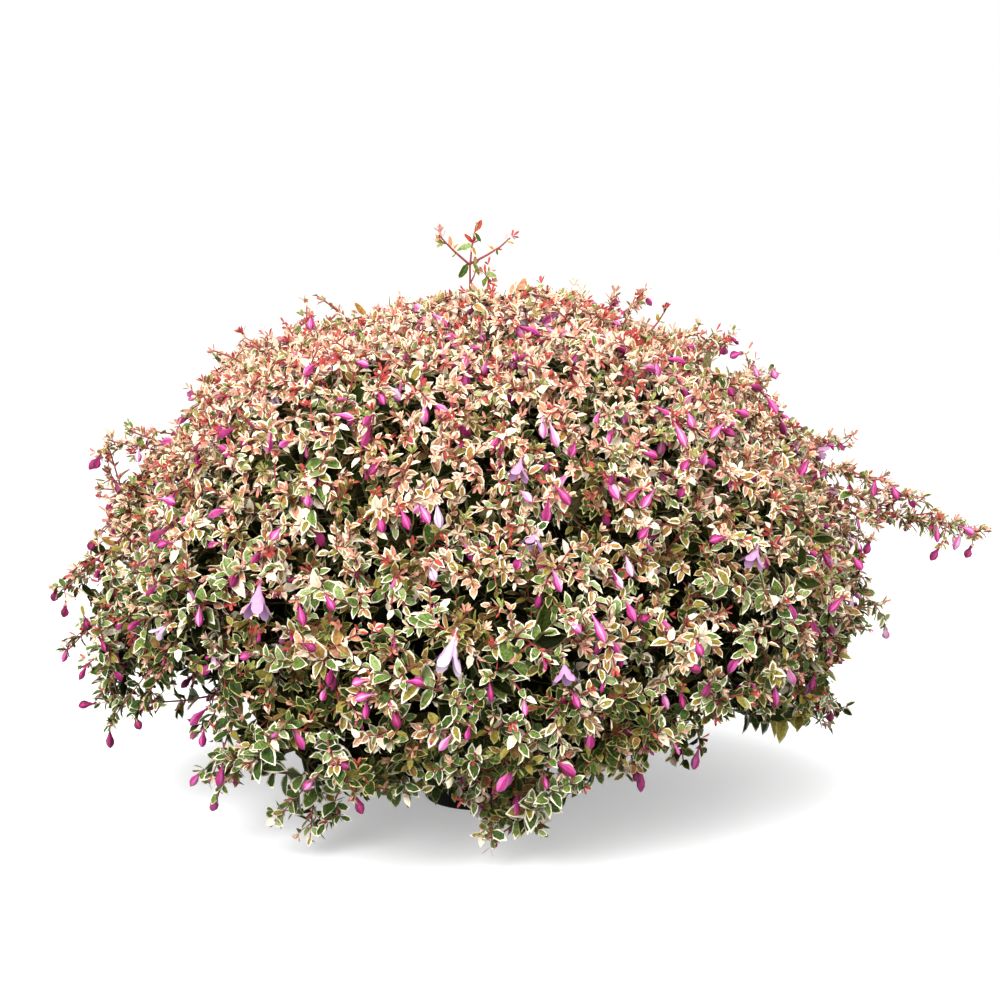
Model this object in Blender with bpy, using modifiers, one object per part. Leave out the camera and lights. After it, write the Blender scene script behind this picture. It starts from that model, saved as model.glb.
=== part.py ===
# A variegated glossy abelia in flower, a dense mounded shrub that overhangs its nursery pot.
# Metres, +Z up. The origin is the centre of the pot's flat underside, and -Y is the front.

import math
import random

import bmesh
import bpy
from mathutils import Matrix, Vector
from mathutils.bvhtree import BVHTree
from mathutils.kdtree import KDTree

UP = Vector((0, 0, 1))
SEAT_GAP = 0.0003  # between pieces that touch

# The pot and the compost in it
POT_HEIGHT = 0.165
POT_BASE_RADIUS = 0.065
POT_TOP_RADIUS = 0.083
POT_WALL = 0.002
POT_FLOOR = 0.004
POT_SIDES = 32
RIM_HEIGHT = 0.014
RIM_OVERHANG = 0.004
DRAIN_HOLES = 8
DRAIN_RADIUS = 0.006
DRAIN_INSET = 0.013  # from the edge of the floor to a hole's middle
DRAIN_SIDES = 8
COMPOST_TOP = 0.150
COMPOST_FALL = 0.003  # from the middle to the wall
COMPOST_FLAT = 0.041  # the level middle's radius, which the root crown stands on
POT_CLEARANCE = 0.006  # between the pot and the foliage

# The woody crown that every stem springs from
STOOL_RADIUS = 0.034
STOOL_HEIGHT = 0.022
STOOL_SIDES = 24
STOOL_RINGS = 6
STOOL_SHOULDER = math.radians(12)  # where its rounded top gives way to the flare
STOOL_FOOT = 0.038  # the flare's radius

# The mound of foliage: a full ellipsoid round CROWN_CENTRE, which each mass bulges out of
CROWN_CENTRE = Vector((0, 0, 0.25))
CROWN_HALF_WIDTH = 0.445
CROWN_RISE = 0.330
CROWN_DROP = 0.27
CROWN_FULLNESS = 2.2
VALLEY_DEPTH = 0.09  # of the crown's radius, at MASS_HALF_ANGLE from the way a mass points
MASS_HALF_ANGLE = math.radians(30)
LEAST_BULGE = 0.5
CELL_DEPTH = 0.72  # where a mass has its centre, as a share of its reach
CELL_MARGIN = 0.001
UNDERSIDE = dict(front=0.036, sides=0.080)
LEAF_DROP = 0.015  # below that underside
GROUND_CLEARANCE = 0.012

# Tiers of masses, from the ground up: how many, the first one's azimuth (0 is +X, 270 the
# front), how high they point from the crown's centre, how much higher those at the left and
# right do, and how far they reach
TIERS = {
    "low": dict(count=8, azimuth=22.5, elevation=-34, lift=12, reach=1.03),
    "side": dict(count=8, azimuth=0, elevation=-3, lift=7, reach=1.0),
    "shoulder": dict(count=8, azimuth=-20, elevation=36, lift=0, reach=1.0),
    "top": dict(count=3, azimuth=30, elevation=74, lift=0, reach=1.0),
}
AZIMUTH_PLAY = 4.0
ELEVATION_PLAY = 3.0
REACH_PLAY = 0.03
LEADER_HEIGHT = 0.600
LEADER_LEAN = Vector((-0.012, 0, 0))

# Limbs
BOUGH_SIDES = 1  # a bevel resolution, which gives six sides
BOUGH_POINTS = 7
FACET_SHARE = 0.96  # of a six-sided limb's radius, where another limb stands on it
STEM_PULL = 0.38  # how far a stem inside a mass keeps to its bough's way
MAIN_STEM = dict(base=0.0046, tip=0.0020)
TOP_STEM = dict(base=0.0036, tip=0.0018)
SIDE_BOUGH = dict(base=0.0027, tip=0.0016)
SIDE_RING = 0.65  # where the outer stems stand on the stool, as a share of its radius
TOP_RING = 0.30
ENTRY_DEPTH = 0.034  # from a bough's tip to the core of its mass
LIMB_CLEARANCE = 0.004
SAMPLE_STEP = 0.003
# How a limb climbs and arrives, in degrees over the level, and the depth of its mass's core
SIDE_COURSE = dict(arrival=-6, core=0.058, pull=0.45)
TOP_COURSE = dict(arrival=68, core=0.048, pull=0.38)
LOW_COURSE = dict(share=0.30, start=30, arrival=-38, core=0.040, pull=0.42)
SHOULDER_COURSE = dict(share=0.46, start=62, arrival=38, core=0.052, pull=0.42)
LEADER_ENTRY = 0.085  # from the leader's bough to the height of its mass

# Masses: the core, and the twigs that stand out of it
CORE_SHARE = 0.96  # of the way to where the mass's space ends
CORE_DEPTH = 0.050  # under the crown's surface
CORE_LEAST = 0.012
CORE_DRAFT_FACES = 320
CORE_FACES = 84
CORE_HOLLOWS = 0.06  # how far its skin is drawn in here and there
CORE_STEP = 0.004
CORE_LIMB_CLEARANCE = 0.005
CORE_SHRINK = 0.93  # of its reach, at each try to clear a limb
TWIGS = 3  # besides the stem that they fork from
TWIG_TRIES = 12
SITE_SPREAD = math.tan(math.radians(27))
SITE_STEPS = (0.7548776662, 0.5698402910)  # shares of the spread, for places evenly apart
TWIG_INSET = 0.014  # how far under the crown's surface a twig ends
TWIG_BEND = 0.30
TWIG_POINTS = 3
STEM_POINTS = 4
TWIG_RADIUS = dict(base=0.0026, tip=0.0018)
STEM_RADIUS = dict(base=0.0028, tip=0.0022)

# Leaves are larger than life, because each stands for several
LEAF = dict(length=0.062, width=0.036, fold=0.004)
LEAF_WIDEST = 0.42  # of the way along
LEAF_OUTLINE = {0.22: 0.5, LEAF_WIDEST: 1.0, 0.70: 0.55}  # its width along its length
SMALL_LEAVES = 0.60  # the size of those on the leader and the stray shoots
LEAF_PAIRS = (0.78, 0.97)
STRAY_PAIRS = (0.60, 0.88)
LEAF_SPLAY = math.radians(68)
LEAF_TILT = 0.2
LEAF_UPWARD = 0.7  # how much its upper side turns to the sky rather than out of the crown
LEAST_CROSS = 0.3  # a leaf that grows nearer than this to its face's way is turned
LEAF_SINK = 0.0008  # past the twig's middle
LEAF_ROOM = 0.007  # between one leaf and the next
CORE_LEAF_SINK = 0.004
CORE_LEAF_RISE = math.radians(36)
CORE_LEAVES = 20
CORE_OUTWARD = 0.25  # how far a facet must face out of the crown to carry a leaf
BUD = dict(length=0.042, width=0.014)
BUD_WIDEST = 0.70
BUD_ROOT = 0.8  # of the way along its twig
BUD_DROOP = 0.9
BUDS_EACH = 2

# Shoots that stand out of the mound, by where they end
STRAY_TIPS = [
    (-0.457, -0.06, 0.246),
    (-0.411, -0.05, 0.405),
    (-0.400, -0.12, 0.130),
    (-0.283, -0.20, 0.062),
    (-0.168, -0.25, 0.020),
    (0.007, -0.27, 0.021),
    (0.385, -0.06, 0.070),
    (0.545, -0.05, 0.297),
    (0.406, 0.00, 0.405),
    (-0.183, 0.02, 0.567),
    (0.060, 0.45, 0.180),
]
LEADER_TIPS = [(-0.050, 0.0, 0.621), (0.034, 0.0, 0.616), (0.0, 0.0, 0.639)]

MASS_REACH = 0.2  # further than any mass goes from its centre
SKIN = 0.002  # over a core, where a leaf would lie on it
WELD = 0.00002
FLAT = math.radians(0.05)  # faces that meet at less are one face

# Colours: base colour, roughness
COLOURS = {
    "pot": ((0.012, 0.012, 0.013), 0.55),
    "compost": ((0.045, 0.028, 0.018), 0.95),
    "bark": ((0.13, 0.065, 0.045), 0.80),
    "foliage": ((0.36, 0.36, 0.20), 0.45),
}

collections = {}
shapes = {}
materials = {}


class Mass:
    """A mass of foliage: which way it lies from the crown's centre, and how far it reaches."""

    def __init__(self, tier, number, azimuth, elevation, reach):
        self.tier = tier
        self.number = number
        self.name = f"{tier}_foliage_{number}"
        self.azimuth = math.radians(azimuth)
        self.direction = direction_of(self.azimuth, math.radians(elevation))
        self.reach = reach
        self.centre = CROWN_CENTRE + self.direction * self.surface(self.direction) * CELL_DEPTH
        sideways = abs(math.cos(self.azimuth))
        rise = UNDERSIDE["sides"] - UNDERSIDE["front"]
        self.underside = UNDERSIDE["front"] + rise * sideways
        self.strays = []
        self.core = None
        self.facets = []

    def surface(self, direction):
        """How far the mass reaches from the crown's centre that way."""
        bulge = 1 - VALLEY_DEPTH * (self.direction.angle(direction) / MASS_HALF_ANGLE) ** 2
        return crown_radius(direction) * self.reach * max(bulge, LEAST_BULGE)


class Limb:
    """A tapering limb: its line and its radius at each point."""

    def __init__(self, name, points, base, tip):
        self.name = name
        self.points = points
        self.radii = taper(base, tip, len(points))

    def at(self, share):
        """The place, heading and radius at a share of the limb's points."""
        place = share * (len(self.points) - 1)
        i = min(int(place), len(self.points) - 2)
        a, b = self.points[i], self.points[i + 1]
        radius = self.radii[i] + (self.radii[i + 1] - self.radii[i]) * (place - i)
        return a.lerp(b, place - i), (b - a).normalized(), radius


class Crown:
    """The masses and limbs, and what room they leave each other."""

    def __init__(self, masses, limbs):
        self.masses = masses
        self.limbs = limbs
        samples = []
        for limb in limbs.values():
            length = sum((b - a).length for a, b in zip(limb.points, limb.points[1:]))
            steps = int(length / SAMPLE_STEP)
            samples += [limb.at(i / steps) for i in range(steps + 1)]
        self.radii = [radius for _, _, radius in samples]
        self.tree = KDTree(len(samples))
        for i, (place, _, _) in enumerate(samples):
            self.tree.insert(place, i)
        self.tree.balance()

    def limbs_near(self, mass):
        """Places along the limbs that a core could touch, with the room that each needs."""
        found = self.tree.find_range(mass.centre, MASS_REACH)
        return [(place, self.radii[i] + CORE_LIMB_CLEARANCE) for place, i, _ in found]

    def limb_gap(self, point):
        """How far a point is from the nearest limb's surface."""
        _, nearest, distance = self.tree.find(point)
        return distance - self.radii[nearest]

    def is_in_cell(self, point, mass):
        """Whether a point is nearer the mass's centre than any other's."""
        for other in self.masses:
            run = other.centre - mass.centre
            length = run.length
            if length and (point - mass.centre).dot(run) / length > length / 2 - CELL_MARGIN:
                return False
        return True

    def is_open(self, point, mass, floor=GROUND_CLEARANCE):
        """Whether a point is in the mass's own space, over its floor and clear of the pot."""
        if point.z < floor:
            return False
        rim = POT_TOP_RADIUS + RIM_OVERHANG + POT_CLEARANCE
        if point.z < POT_HEIGHT + POT_CLEARANCE and math.hypot(point.x, point.y) < rim:
            return False
        return self.is_in_cell(point, mass)

    def is_free(self, point, mass, floor=GROUND_CLEARANCE):
        return self.is_open(point, mass, floor) and self.limb_gap(point) > LIMB_CLEARANCE


def direction_of(azimuth, elevation):
    flat = math.cos(elevation)
    return Vector((flat * math.cos(azimuth), flat * math.sin(azimuth), math.sin(elevation)))


def crown_radius(direction):
    """How far the ellipsoid reaches from its centre that way."""
    flat = math.hypot(direction.x, direction.y) / CROWN_HALF_WIDTH
    tall = abs(direction.z) / (CROWN_RISE if direction.z > 0 else CROWN_DROP)
    return (flat**CROWN_FULLNESS + tall**CROWN_FULLNESS) ** (-1 / CROWN_FULLNESS)


def taper(base, tip, count):
    return [base + (tip - base) * i / (count - 1) for i in range(count)]


def curve_points(start, start_heading, end, end_heading, count, pull):
    """Points along a cubic curve that leaves and arrives along the headings."""
    reach = (end - start).length * pull
    a, b = start + start_heading * reach, end - end_heading * reach
    points = []
    for i in range(count):
        t = i / (count - 1)
        s = 1 - t
        points.append(start * s**3 + a * (3 * s * s * t) + b * (3 * s * t * t) + end * t**3)
    return points


def make_collection(name):
    made = bpy.data.collections.new(name)
    bpy.context.scene.collection.children.link(made)
    collections[name] = made


def make_material(name):
    colour, roughness = COLOURS[name]
    made = bpy.data.materials.new(name)
    made.use_nodes = True
    shader = made.node_tree.nodes["Principled BSDF"]
    shader.inputs["Base Color"].default_value = (*colour, 1)
    shader.inputs["Roughness"].default_value = roughness
    shader.inputs["Metallic"].default_value = 0.0
    materials[name] = made


def add_object(name, data, material, collection="abelia"):
    made = bpy.data.objects.new(name, data)
    data.materials.clear()
    data.materials.append(materials[material])
    collections[collection].objects.link(made)
    return made


def mesh_from(bm, name):
    mesh = bpy.data.meshes.new(name)
    bm.to_mesh(mesh)
    bm.free()
    return mesh


def turned(name, profile, steps, material):
    """A profile of (radius, height) points, turned round Z."""
    bm = bmesh.new()
    corners = [bm.verts.new((radius, 0, height)) for radius, height in profile]
    for a, b in zip(corners, corners[1:]):
        bm.edges.new((a, b))
    made = add_object(name, mesh_from(bm, name), material)
    screw = made.modifiers.new("turn", "SCREW")
    screw.steps = screw.render_steps = steps
    screw.use_merge_vertices = True
    screw.merge_threshold = 0.0001
    return made


def pot_radius(height):
    """The pot's outer radius at a height, without its rim."""
    return POT_BASE_RADIUS + (POT_TOP_RADIUS - POT_BASE_RADIUS) * height / POT_HEIGHT


def make_pot():
    """A thin tapered pot with a turned-out rim and drain holes through its floor."""
    lip = POT_TOP_RADIUS + RIM_OVERHANG
    under_rim = POT_HEIGHT - RIM_HEIGHT
    profile = [
        (0, POT_FLOOR),
        (pot_radius(POT_FLOOR) - POT_WALL, POT_FLOOR),
        (POT_TOP_RADIUS - POT_WALL, POT_HEIGHT),
        (lip, POT_HEIGHT),
        (lip, under_rim),
        (pot_radius(under_rim), under_rim),
        (POT_BASE_RADIUS, 0),
        (0, 0),
    ]
    pot = turned("pot", profile, POT_SIDES, "pot")
    for i in range(DRAIN_HOLES):
        turn = 2 * math.pi * (i + 0.5) / DRAIN_HOLES
        place = direction_of(turn, 0) * (POT_BASE_RADIUS - DRAIN_INSET)
        bpy.ops.mesh.primitive_cylinder_add(
            vertices=DRAIN_SIDES, radius=DRAIN_RADIUS, depth=4 * POT_FLOOR, location=place
        )
        cutter = bpy.context.object
        cutter.name = f"drain_cutter_{i + 1}"
        cutter.hide_render = True
        cutter.display_type = "WIRE"
        bpy.context.collection.objects.unlink(cutter)
        collections["cutters"].objects.link(cutter)
        cut = pot.modifiers.new(f"drain_{i + 1}", "BOOLEAN")
        cut.operation = "DIFFERENCE"
        cut.object = cutter


def make_compost():
    """Fills the pot to just under its rim, a little lower at the wall."""
    inside = POT_WALL + SEAT_GAP
    low = POT_FLOOR + SEAT_GAP
    edge = COMPOST_TOP - COMPOST_FALL
    profile = [
        (0, COMPOST_TOP),
        (COMPOST_FLAT, COMPOST_TOP),
        (pot_radius(edge) - inside, edge),
        (pot_radius(low) - inside, low),
        (0, low),
    ]
    turned("compost", profile, POT_SIDES, "compost")


def make_stool():
    """The root crown: flared at the compost, rounded on top."""
    foot = COMPOST_TOP + SEAT_GAP
    profile = [(0, foot + STOOL_HEIGHT)]
    for i in range(1, STOOL_RINGS):
        angle = math.pi / 2 - (math.pi / 2 - STOOL_SHOULDER) * i / (STOOL_RINGS - 1)
        profile.append((STOOL_RADIUS * math.cos(angle), foot + STOOL_HEIGHT * math.sin(angle)))
    profile += [(STOOL_FOOT, foot), (0, foot)]
    turned("root_crown", profile, STOOL_SIDES, "bark")


def on_stool(azimuth, ring):
    """A place just clear of the stool's top, and the way a stem leaves it."""
    radius = STOOL_RADIUS * ring
    height = STOOL_HEIGHT * math.sqrt(1 - ring * ring)
    outward = direction_of(azimuth, 0)
    heading = outward * (radius / STOOL_RADIUS**2) + UP * (height / STOOL_HEIGHT**2)
    heading.normalize()
    foot = outward * radius + UP * (COMPOST_TOP + SEAT_GAP + height)
    return foot + heading * SEAT_GAP, heading


def plan_masses(rng):
    """The masses of all tiers, each with the stray shoots nearest it, and the leader over them."""
    masses = []
    for tier, plan in TIERS.items():
        for i in range(plan["count"]):
            azimuth = plan["azimuth"] + 360 * i / plan["count"] + rng.uniform(-1, 1) * AZIMUTH_PLAY
            sideways = abs(math.cos(math.radians(azimuth)))
            elevation = plan["elevation"] + plan["lift"] * sideways
            elevation += rng.uniform(-1, 1) * ELEVATION_PLAY
            reach = plan["reach"] + rng.uniform(-1, 1) * REACH_PLAY
            masses.append(Mass(tier, i + 1, azimuth, elevation, reach))
    for tip in map(Vector, STRAY_TIPS):
        owner = min(masses, key=lambda mass: (mass.centre - tip).length)
        owner.strays.append(tip)
        owner.strays.sort(key=lambda place: (place - owner.centre).length)
    leader = Mass("leader", 1, 180, 88, 1.0)
    leader.name = "leader_foliage"
    leader.centre = LEADER_LEAN + UP * LEADER_HEIGHT
    leader.strays = [Vector(tip) for tip in LEADER_TIPS]
    masses.append(leader)
    return masses


def limb_to(mass, name, start, heading, course, radii):
    """A limb that ends where it enters its mass, short of the core."""
    arrival = direction_of(mass.azimuth, math.radians(course["arrival"]))
    end = mass.centre - arrival * (course["core"] + ENTRY_DEPTH)
    points = curve_points(start, heading, end, arrival, BOUGH_POINTS, course["pull"])
    return Limb(name, points, **radii)


def plan_limbs(masses):
    """A limb to each mass: stems from the stool, and boughs that fork off the outer stems."""
    limbs = {}
    for mass in masses:
        if mass.tier == "side":
            start, heading = on_stool(mass.azimuth, SIDE_RING)
            name = f"side_stem_{mass.number}"
            limbs[mass.name] = limb_to(mass, name, start, heading, SIDE_COURSE, MAIN_STEM)
        elif mass.tier == "top":
            start, heading = on_stool(mass.azimuth, TOP_RING)
            name = f"top_stem_{mass.number}"
            limbs[mass.name] = limb_to(mass, name, start, heading, TOP_COURSE, TOP_STEM)
        elif mass.tier == "leader":
            start, heading = on_stool(0, 0)
            end = LEADER_LEAN + UP * (LEADER_HEIGHT - LEADER_ENTRY)
            points = curve_points(start, heading, end, UP, BOUGH_POINTS, STEM_PULL)
            limbs[mass.name] = Limb("leader_stem", points, **TOP_STEM)
    for mass in masses:
        if mass.tier not in ("low", "shoulder"):
            continue
        course = LOW_COURSE if mass.tier == "low" else SHOULDER_COURSE
        parent = limbs[f"side_foliage_{mass.number}"]
        fork, along, radius = parent.at(course["share"])
        heading = direction_of(mass.azimuth, math.radians(course["start"]))
        across = (heading - along * heading.dot(along)).normalized()
        lean = SIDE_BOUGH["base"] * abs(heading.dot(along))
        start = fork + across * ((radius + lean) * FACET_SHARE + SEAT_GAP)
        name = f"{mass.tier}_bough_{mass.number}"
        limbs[mass.name] = limb_to(mass, name, start, heading, course, SIDE_BOUGH)
    return limbs


def tube_curve(name, points, radii, bevel_object=None):
    """A POLY curve with filled caps whose thickness follows the radii."""
    curve = bpy.data.curves.new(name, "CURVE")
    curve.dimensions = "3D"
    curve.use_fill_caps = True
    if bevel_object:
        curve.bevel_mode = "OBJECT"
        curve.bevel_object = bevel_object
        widest = 1.0
    else:
        widest = max(radii)
        curve.bevel_depth = widest
        curve.bevel_resolution = BOUGH_SIDES
    spline = curve.splines.new("POLY")
    spline.points.add(len(points) - 1)
    for point, place, radius in zip(spline.points, points, radii):
        point.co = (*place, 1)
        point.radius = radius / widest
    return curve


def make_twig_section():
    """The section of a twig: a triangle whose corners are one unit out."""
    curve = bpy.data.curves.new("twig_section", "CURVE")
    curve.dimensions = "2D"
    spline = curve.splines.new("POLY")
    spline.points.add(2)
    for i, point in enumerate(spline.points):
        corner = direction_of(2 * math.pi * i / 3, 0)
        point.co = (corner.x, corner.y, 0, 1)
    spline.use_cyclic_u = True
    made = bpy.data.objects.new("twig_section", curve)
    made.hide_render = True
    made.display_type = "WIRE"
    collections["cutters"].objects.link(made)
    return made


def evaluated_mesh(made):
    bpy.context.view_layer.update()
    graph = bpy.context.evaluated_depsgraph_get()
    return bpy.data.meshes.new_from_object(made.evaluated_get(graph))


def make_twig(points, radii):
    """A three-sided twig as a closed mesh."""
    curve = tube_curve("twig", points, radii, shapes["twig_section"])
    line = add_object("twig_line", curve, "foliage", "operands")
    mesh = evaluated_mesh(line)
    bm = bmesh.new()
    bm.from_mesh(mesh)
    bmesh.ops.remove_doubles(bm, verts=bm.verts, dist=WELD)
    bmesh.ops.recalc_face_normals(bm, faces=bm.faces)
    bm.to_mesh(mesh)
    bm.free()
    made = add_object("twig", mesh, "foliage", "operands")
    made.matrix_world = line.matrix_world
    bpy.data.objects.remove(line)
    return made


def hull_shape(name, corners):
    """A closed shape round the corners, which are in units of its length and width."""
    bm = bmesh.new()
    for corner in corners:
        bm.verts.new(corner)
    bmesh.ops.convex_hull(bm, input=bm.verts)
    bmesh.ops.recalc_face_normals(bm, faces=bm.faces)
    return mesh_from(bm, name)


def make_shapes():
    """The leaf is folded down along its middle; the bud is a club that widens towards its end."""
    shapes["twig_section"] = make_twig_section()
    leaf = [(0, 0, 0), (1, 0, 0), (LEAF_WIDEST, 0.5, 1), (LEAF_WIDEST, -0.5, 1)]
    shapes["leaf"] = hull_shape("leaf", leaf)
    ring = [direction_of(math.pi * (i + 0.5) / 2, 0) * 0.5 for i in range(4)]
    bud = [(0, 0, 0), (1, 0, 0)] + [(BUD_WIDEST, corner.x, corner.y) for corner in ring]
    shapes["bud"] = hull_shape("bud", bud)


def place_shape(shape, foot, heading, face, size):
    """A leaf or bud with its foot in place, growing along its heading, its upper side to face."""
    across = face.cross(heading).normalized()
    turn = Matrix((heading, across, heading.cross(across))).transposed().to_4x4()
    made = add_object(shape, shapes[shape], "foliage", "operands")
    made.matrix_world = Matrix.Translation(foot) @ turn @ Matrix.Diagonal((*size, 1))


def core_reach(mass, way, crown):
    """How far the core may reach from the mass's centre that way."""
    reach = CORE_STEP
    while reach < MASS_REACH:
        point = mass.centre + way * reach
        out = point - CROWN_CENTRE
        if out.length > mass.surface(out.normalized()) - CORE_DEPTH:
            return reach - CORE_STEP
        if not crown.is_open(point, mass, mass.underside):
            return (reach - CORE_STEP) * CORE_SHARE
        reach += CORE_STEP
    return reach * CORE_SHARE


def make_core(mass, crown, rng):
    """The dense heart of a mass: a ball drawn in where the crown or its space ends, or a limb passes."""
    bm = bmesh.new()
    bmesh.ops.create_icosphere(bm, subdivisions=3, radius=1)
    for vert in bm.verts:
        way = vert.co.normalized()
        vert.co = mass.centre + way * max(core_reach(mass, way, crown), CORE_LEAST)
    draft = add_object("core", mesh_from(bm, "core"), "foliage")
    draft.modifiers.new("thin", "DECIMATE").ratio = CORE_FACES / CORE_DRAFT_FACES
    bm = bmesh.new()
    bm.from_mesh(evaluated_mesh(draft))
    bpy.data.objects.remove(draft)
    for vert in bm.verts:
        vert.co = mass.centre.lerp(vert.co, 1 - CORE_HOLLOWS * rng.random())
    near = crown.limbs_near(mass)
    crowded = True
    while crowded:
        bm.normal_update()
        bm.faces.ensure_lookup_table()
        mass.core = BVHTree.FromBMesh(bm)
        crowded = set()
        for place, room in near:
            nearest, normal, face, _ = mass.core.find_nearest(place)
            if (place - nearest).dot(normal) < room:
                crowded.update(bm.faces[face].verts)
        for vert in crowded:
            vert.co = mass.centre.lerp(vert.co, CORE_SHRINK)
    mass.facets = [(face.calc_center_median(), face.normal.copy()) for face in bm.faces]
    return add_object(mass.name, mesh_from(bm, mass.name), "foliage")


def in_core(point, mass):
    """Whether a point is inside the mass's core, or just over its skin."""
    if not mass.core:
        return False
    nearest, normal, _, _ = mass.core.find_nearest(point)
    return (point - nearest).dot(normal) < SKIN


def site(mass, number):
    """The place on the crown that a mass's twig of that number grows to, coarse ones first."""
    u, v = (2 * ((number + 1) * step % 1) - 1 for step in SITE_STEPS)
    side = mass.direction.cross(UP).normalized()
    over = side.cross(mass.direction)
    way = (mass.direction + SITE_SPREAD * (side * u + over * v)).normalized()
    return CROWN_CENTRE + way * (mass.surface(way) - TWIG_INSET)


def nearest_node(lines, target):
    """The place on the twigs so far that a new twig to target forks from, and its heading."""
    nodes = [(a, b) for line in lines for a, b in zip(line[1:], line[2:])]
    a, b = min(nodes, key=lambda node: (target - node[0]).length)
    return a, (b - a).normalized()


def twig_line(lines, end, count):
    """A new twig's points: it leaves along its parent and bends to its end."""
    start, heading = nearest_node(lines, end)
    bend = start + heading * (end - start).length * TWIG_BEND
    points = []
    for i in range(count):
        t = i / (count - 1)
        points.append(start.lerp(bend, t).lerp(bend.lerp(end, t), t))
    return points


def plan_twigs(mass, crown):
    """The lines of a mass's stem and twigs, each with the scale of its leaves."""
    limb = crown.limbs[mass.name]
    arrival = limb.at(1)[1]
    small_leaf = LEAF["length"] * SMALL_LEAVES
    if mass.core:
        tip = CROWN_CENTRE + mass.direction * (mass.surface(mass.direction) - TWIG_INSET)
        strays, heading, scale = mass.strays, mass.direction, 1.0
    else:
        tip = mass.strays[-1] - UP * small_leaf
        strays, heading, scale = mass.strays[:-1], UP, SMALL_LEAVES
    start = limb.points[-1] + arrival * SEAT_GAP
    stem = curve_points(start, arrival, tip, heading, STEM_POINTS, STEM_PULL)
    lines, scales = [stem], [scale]
    for end in strays:
        start, _ = nearest_node(lines, end)
        end = end - (end - start).normalized() * small_leaf
        line = twig_line(lines, end, STEM_POINTS)
        if all(crown.is_free(point, mass) for point in line[1:]):
            lines.append(line)
            scales.append(SMALL_LEAVES)
        else:
            print(f"{mass.name} has no room for its shoot to {tuple(end)}")
    grown = 0
    for number in range(TWIG_TRIES if mass.core else 0):
        end = site(mass, number)
        if grown == TWIGS or end.z < mass.underside:
            continue
        line = twig_line(lines, end, TWIG_POINTS)
        if all(crown.is_free(point, mass) for point in line[1:]):
            lines.append(line)
            scales.append(1.0)
            grown += 1
    return lines, scales


def side_of(heading, quarter):
    """The way that a leaf pair stands off its twig; alternate pairs are a quarter turn apart."""
    flat = heading.cross(UP)
    if flat.length < 0.05:
        flat = heading.cross(Vector((0, 1, 0)))
    flat.normalize()
    return flat if quarter % 2 == 0 else flat.cross(heading)


def leaf_spots(line, scale):
    """Where leaves stand on a twig: opposite pairs, and on a stray shoot one at its tip too."""
    twig = Limb("twig", line, 0, 0)
    spots = []
    for quarter, share in enumerate(LEAF_PAIRS if scale == 1 else STRAY_PAIRS):
        root, along, _ = twig.at(share)
        side = side_of(along, quarter)
        for sign in (1, -1):
            heading = along * math.cos(LEAF_SPLAY) + side * sign * math.sin(LEAF_SPLAY)
            spots.append((root + along * sign * LEAF_SINK * 2 - heading * LEAF_SINK, heading))
    if scale < 1:
        root, along, _ = twig.at(1)
        spots.append((root - along * LEAF_SINK * 4, along))
    return spots


def core_leaf_spots(mass, rng):
    """Where leaves stand on the core: on its outer facets, leaning out from them every way."""
    spots = []
    for middle, normal in rng.sample(mass.facets, len(mass.facets)):
        if normal.dot((middle - CROWN_CENTRE).normalized()) < CORE_OUTWARD:
            continue
        lean = Vector([rng.uniform(-1, 1) for _ in range(3)])
        along = (lean - normal * lean.dot(normal)).normalized()
        heading = along * math.cos(CORE_LEAF_RISE) + normal * math.sin(CORE_LEAF_RISE)
        spots.append((middle - heading * CORE_LEAF_SINK, heading))
    return spots


def leaf_points(foot, heading, face, size):
    """Points over a leaf, for finding out what it would touch."""
    across = face.cross(heading).normalized() * size[1] / 2
    points = [foot + heading * size[0]]
    for share, width in LEAF_OUTLINE.items():
        middle = foot + heading * size[0] * share
        points += [middle, middle + across * width, middle - across * width]
    return points


def add_leaves(mass, crown, lines, scales, rng):
    """Leaves and closed flowers on the twigs and the core, wherever there is room for them."""
    taken = []

    def has_room(points, room, floor):
        for point in points:
            if in_core(point, mass) or not crown.is_free(point, mass, floor):
                return False
            if any((point - other).length < room for other in taken):
                return False
        return True

    spots = []
    for line, scale in zip(lines, scales):
        spots += [(foot, heading, scale) for foot, heading in leaf_spots(line, scale)]
    most = len(spots) + CORE_LEAVES
    if mass.core:
        spots += [(foot, heading, 1.0) for foot, heading in core_leaf_spots(mass, rng)]
    count = 0
    for foot, heading, scale in spots:
        tilt = Vector([rng.uniform(-LEAF_TILT, LEAF_TILT) for _ in range(3)])
        heading = (heading + tilt).normalized()
        face = (foot - CROWN_CENTRE).normalized() + UP * LEAF_UPWARD + tilt
        if face.cross(heading).length < LEAST_CROSS:
            face = side_of(heading, 1)
        size = [LEAF[key] * scale for key in ("length", "width", "fold")]
        points = leaf_points(foot, heading, face, size)
        floor = mass.underside - LEAF_DROP if scale == 1 else GROUND_CLEARANCE
        if count < most and has_room(points, LEAF_ROOM * scale, floor):
            place_shape("leaf", foot, heading, face, size)
            taken.extend(points)
            count += 1
    for line in lines[: BUDS_EACH + len(mass.strays)]:
        root, along, _ = Limb("twig", line, 0, 0).at(BUD_ROOT)
        heading = (side_of(along, 0) * rng.choice((1, -1)) - UP * BUD_DROOP).normalized()
        foot = root - heading * LEAF_SINK
        points = [foot + heading * BUD["length"] * share for share in (0.4, BUD_WIDEST, 1.0)]
        if has_room(points, BUD["width"] / 2 + LEAF_ROOM, GROUND_CLEARANCE):
            size = (BUD["length"], BUD["width"], BUD["width"])
            place_shape("bud", foot, heading, side_of(heading, 1), size)
            taken.extend(points)
    return count


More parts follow.
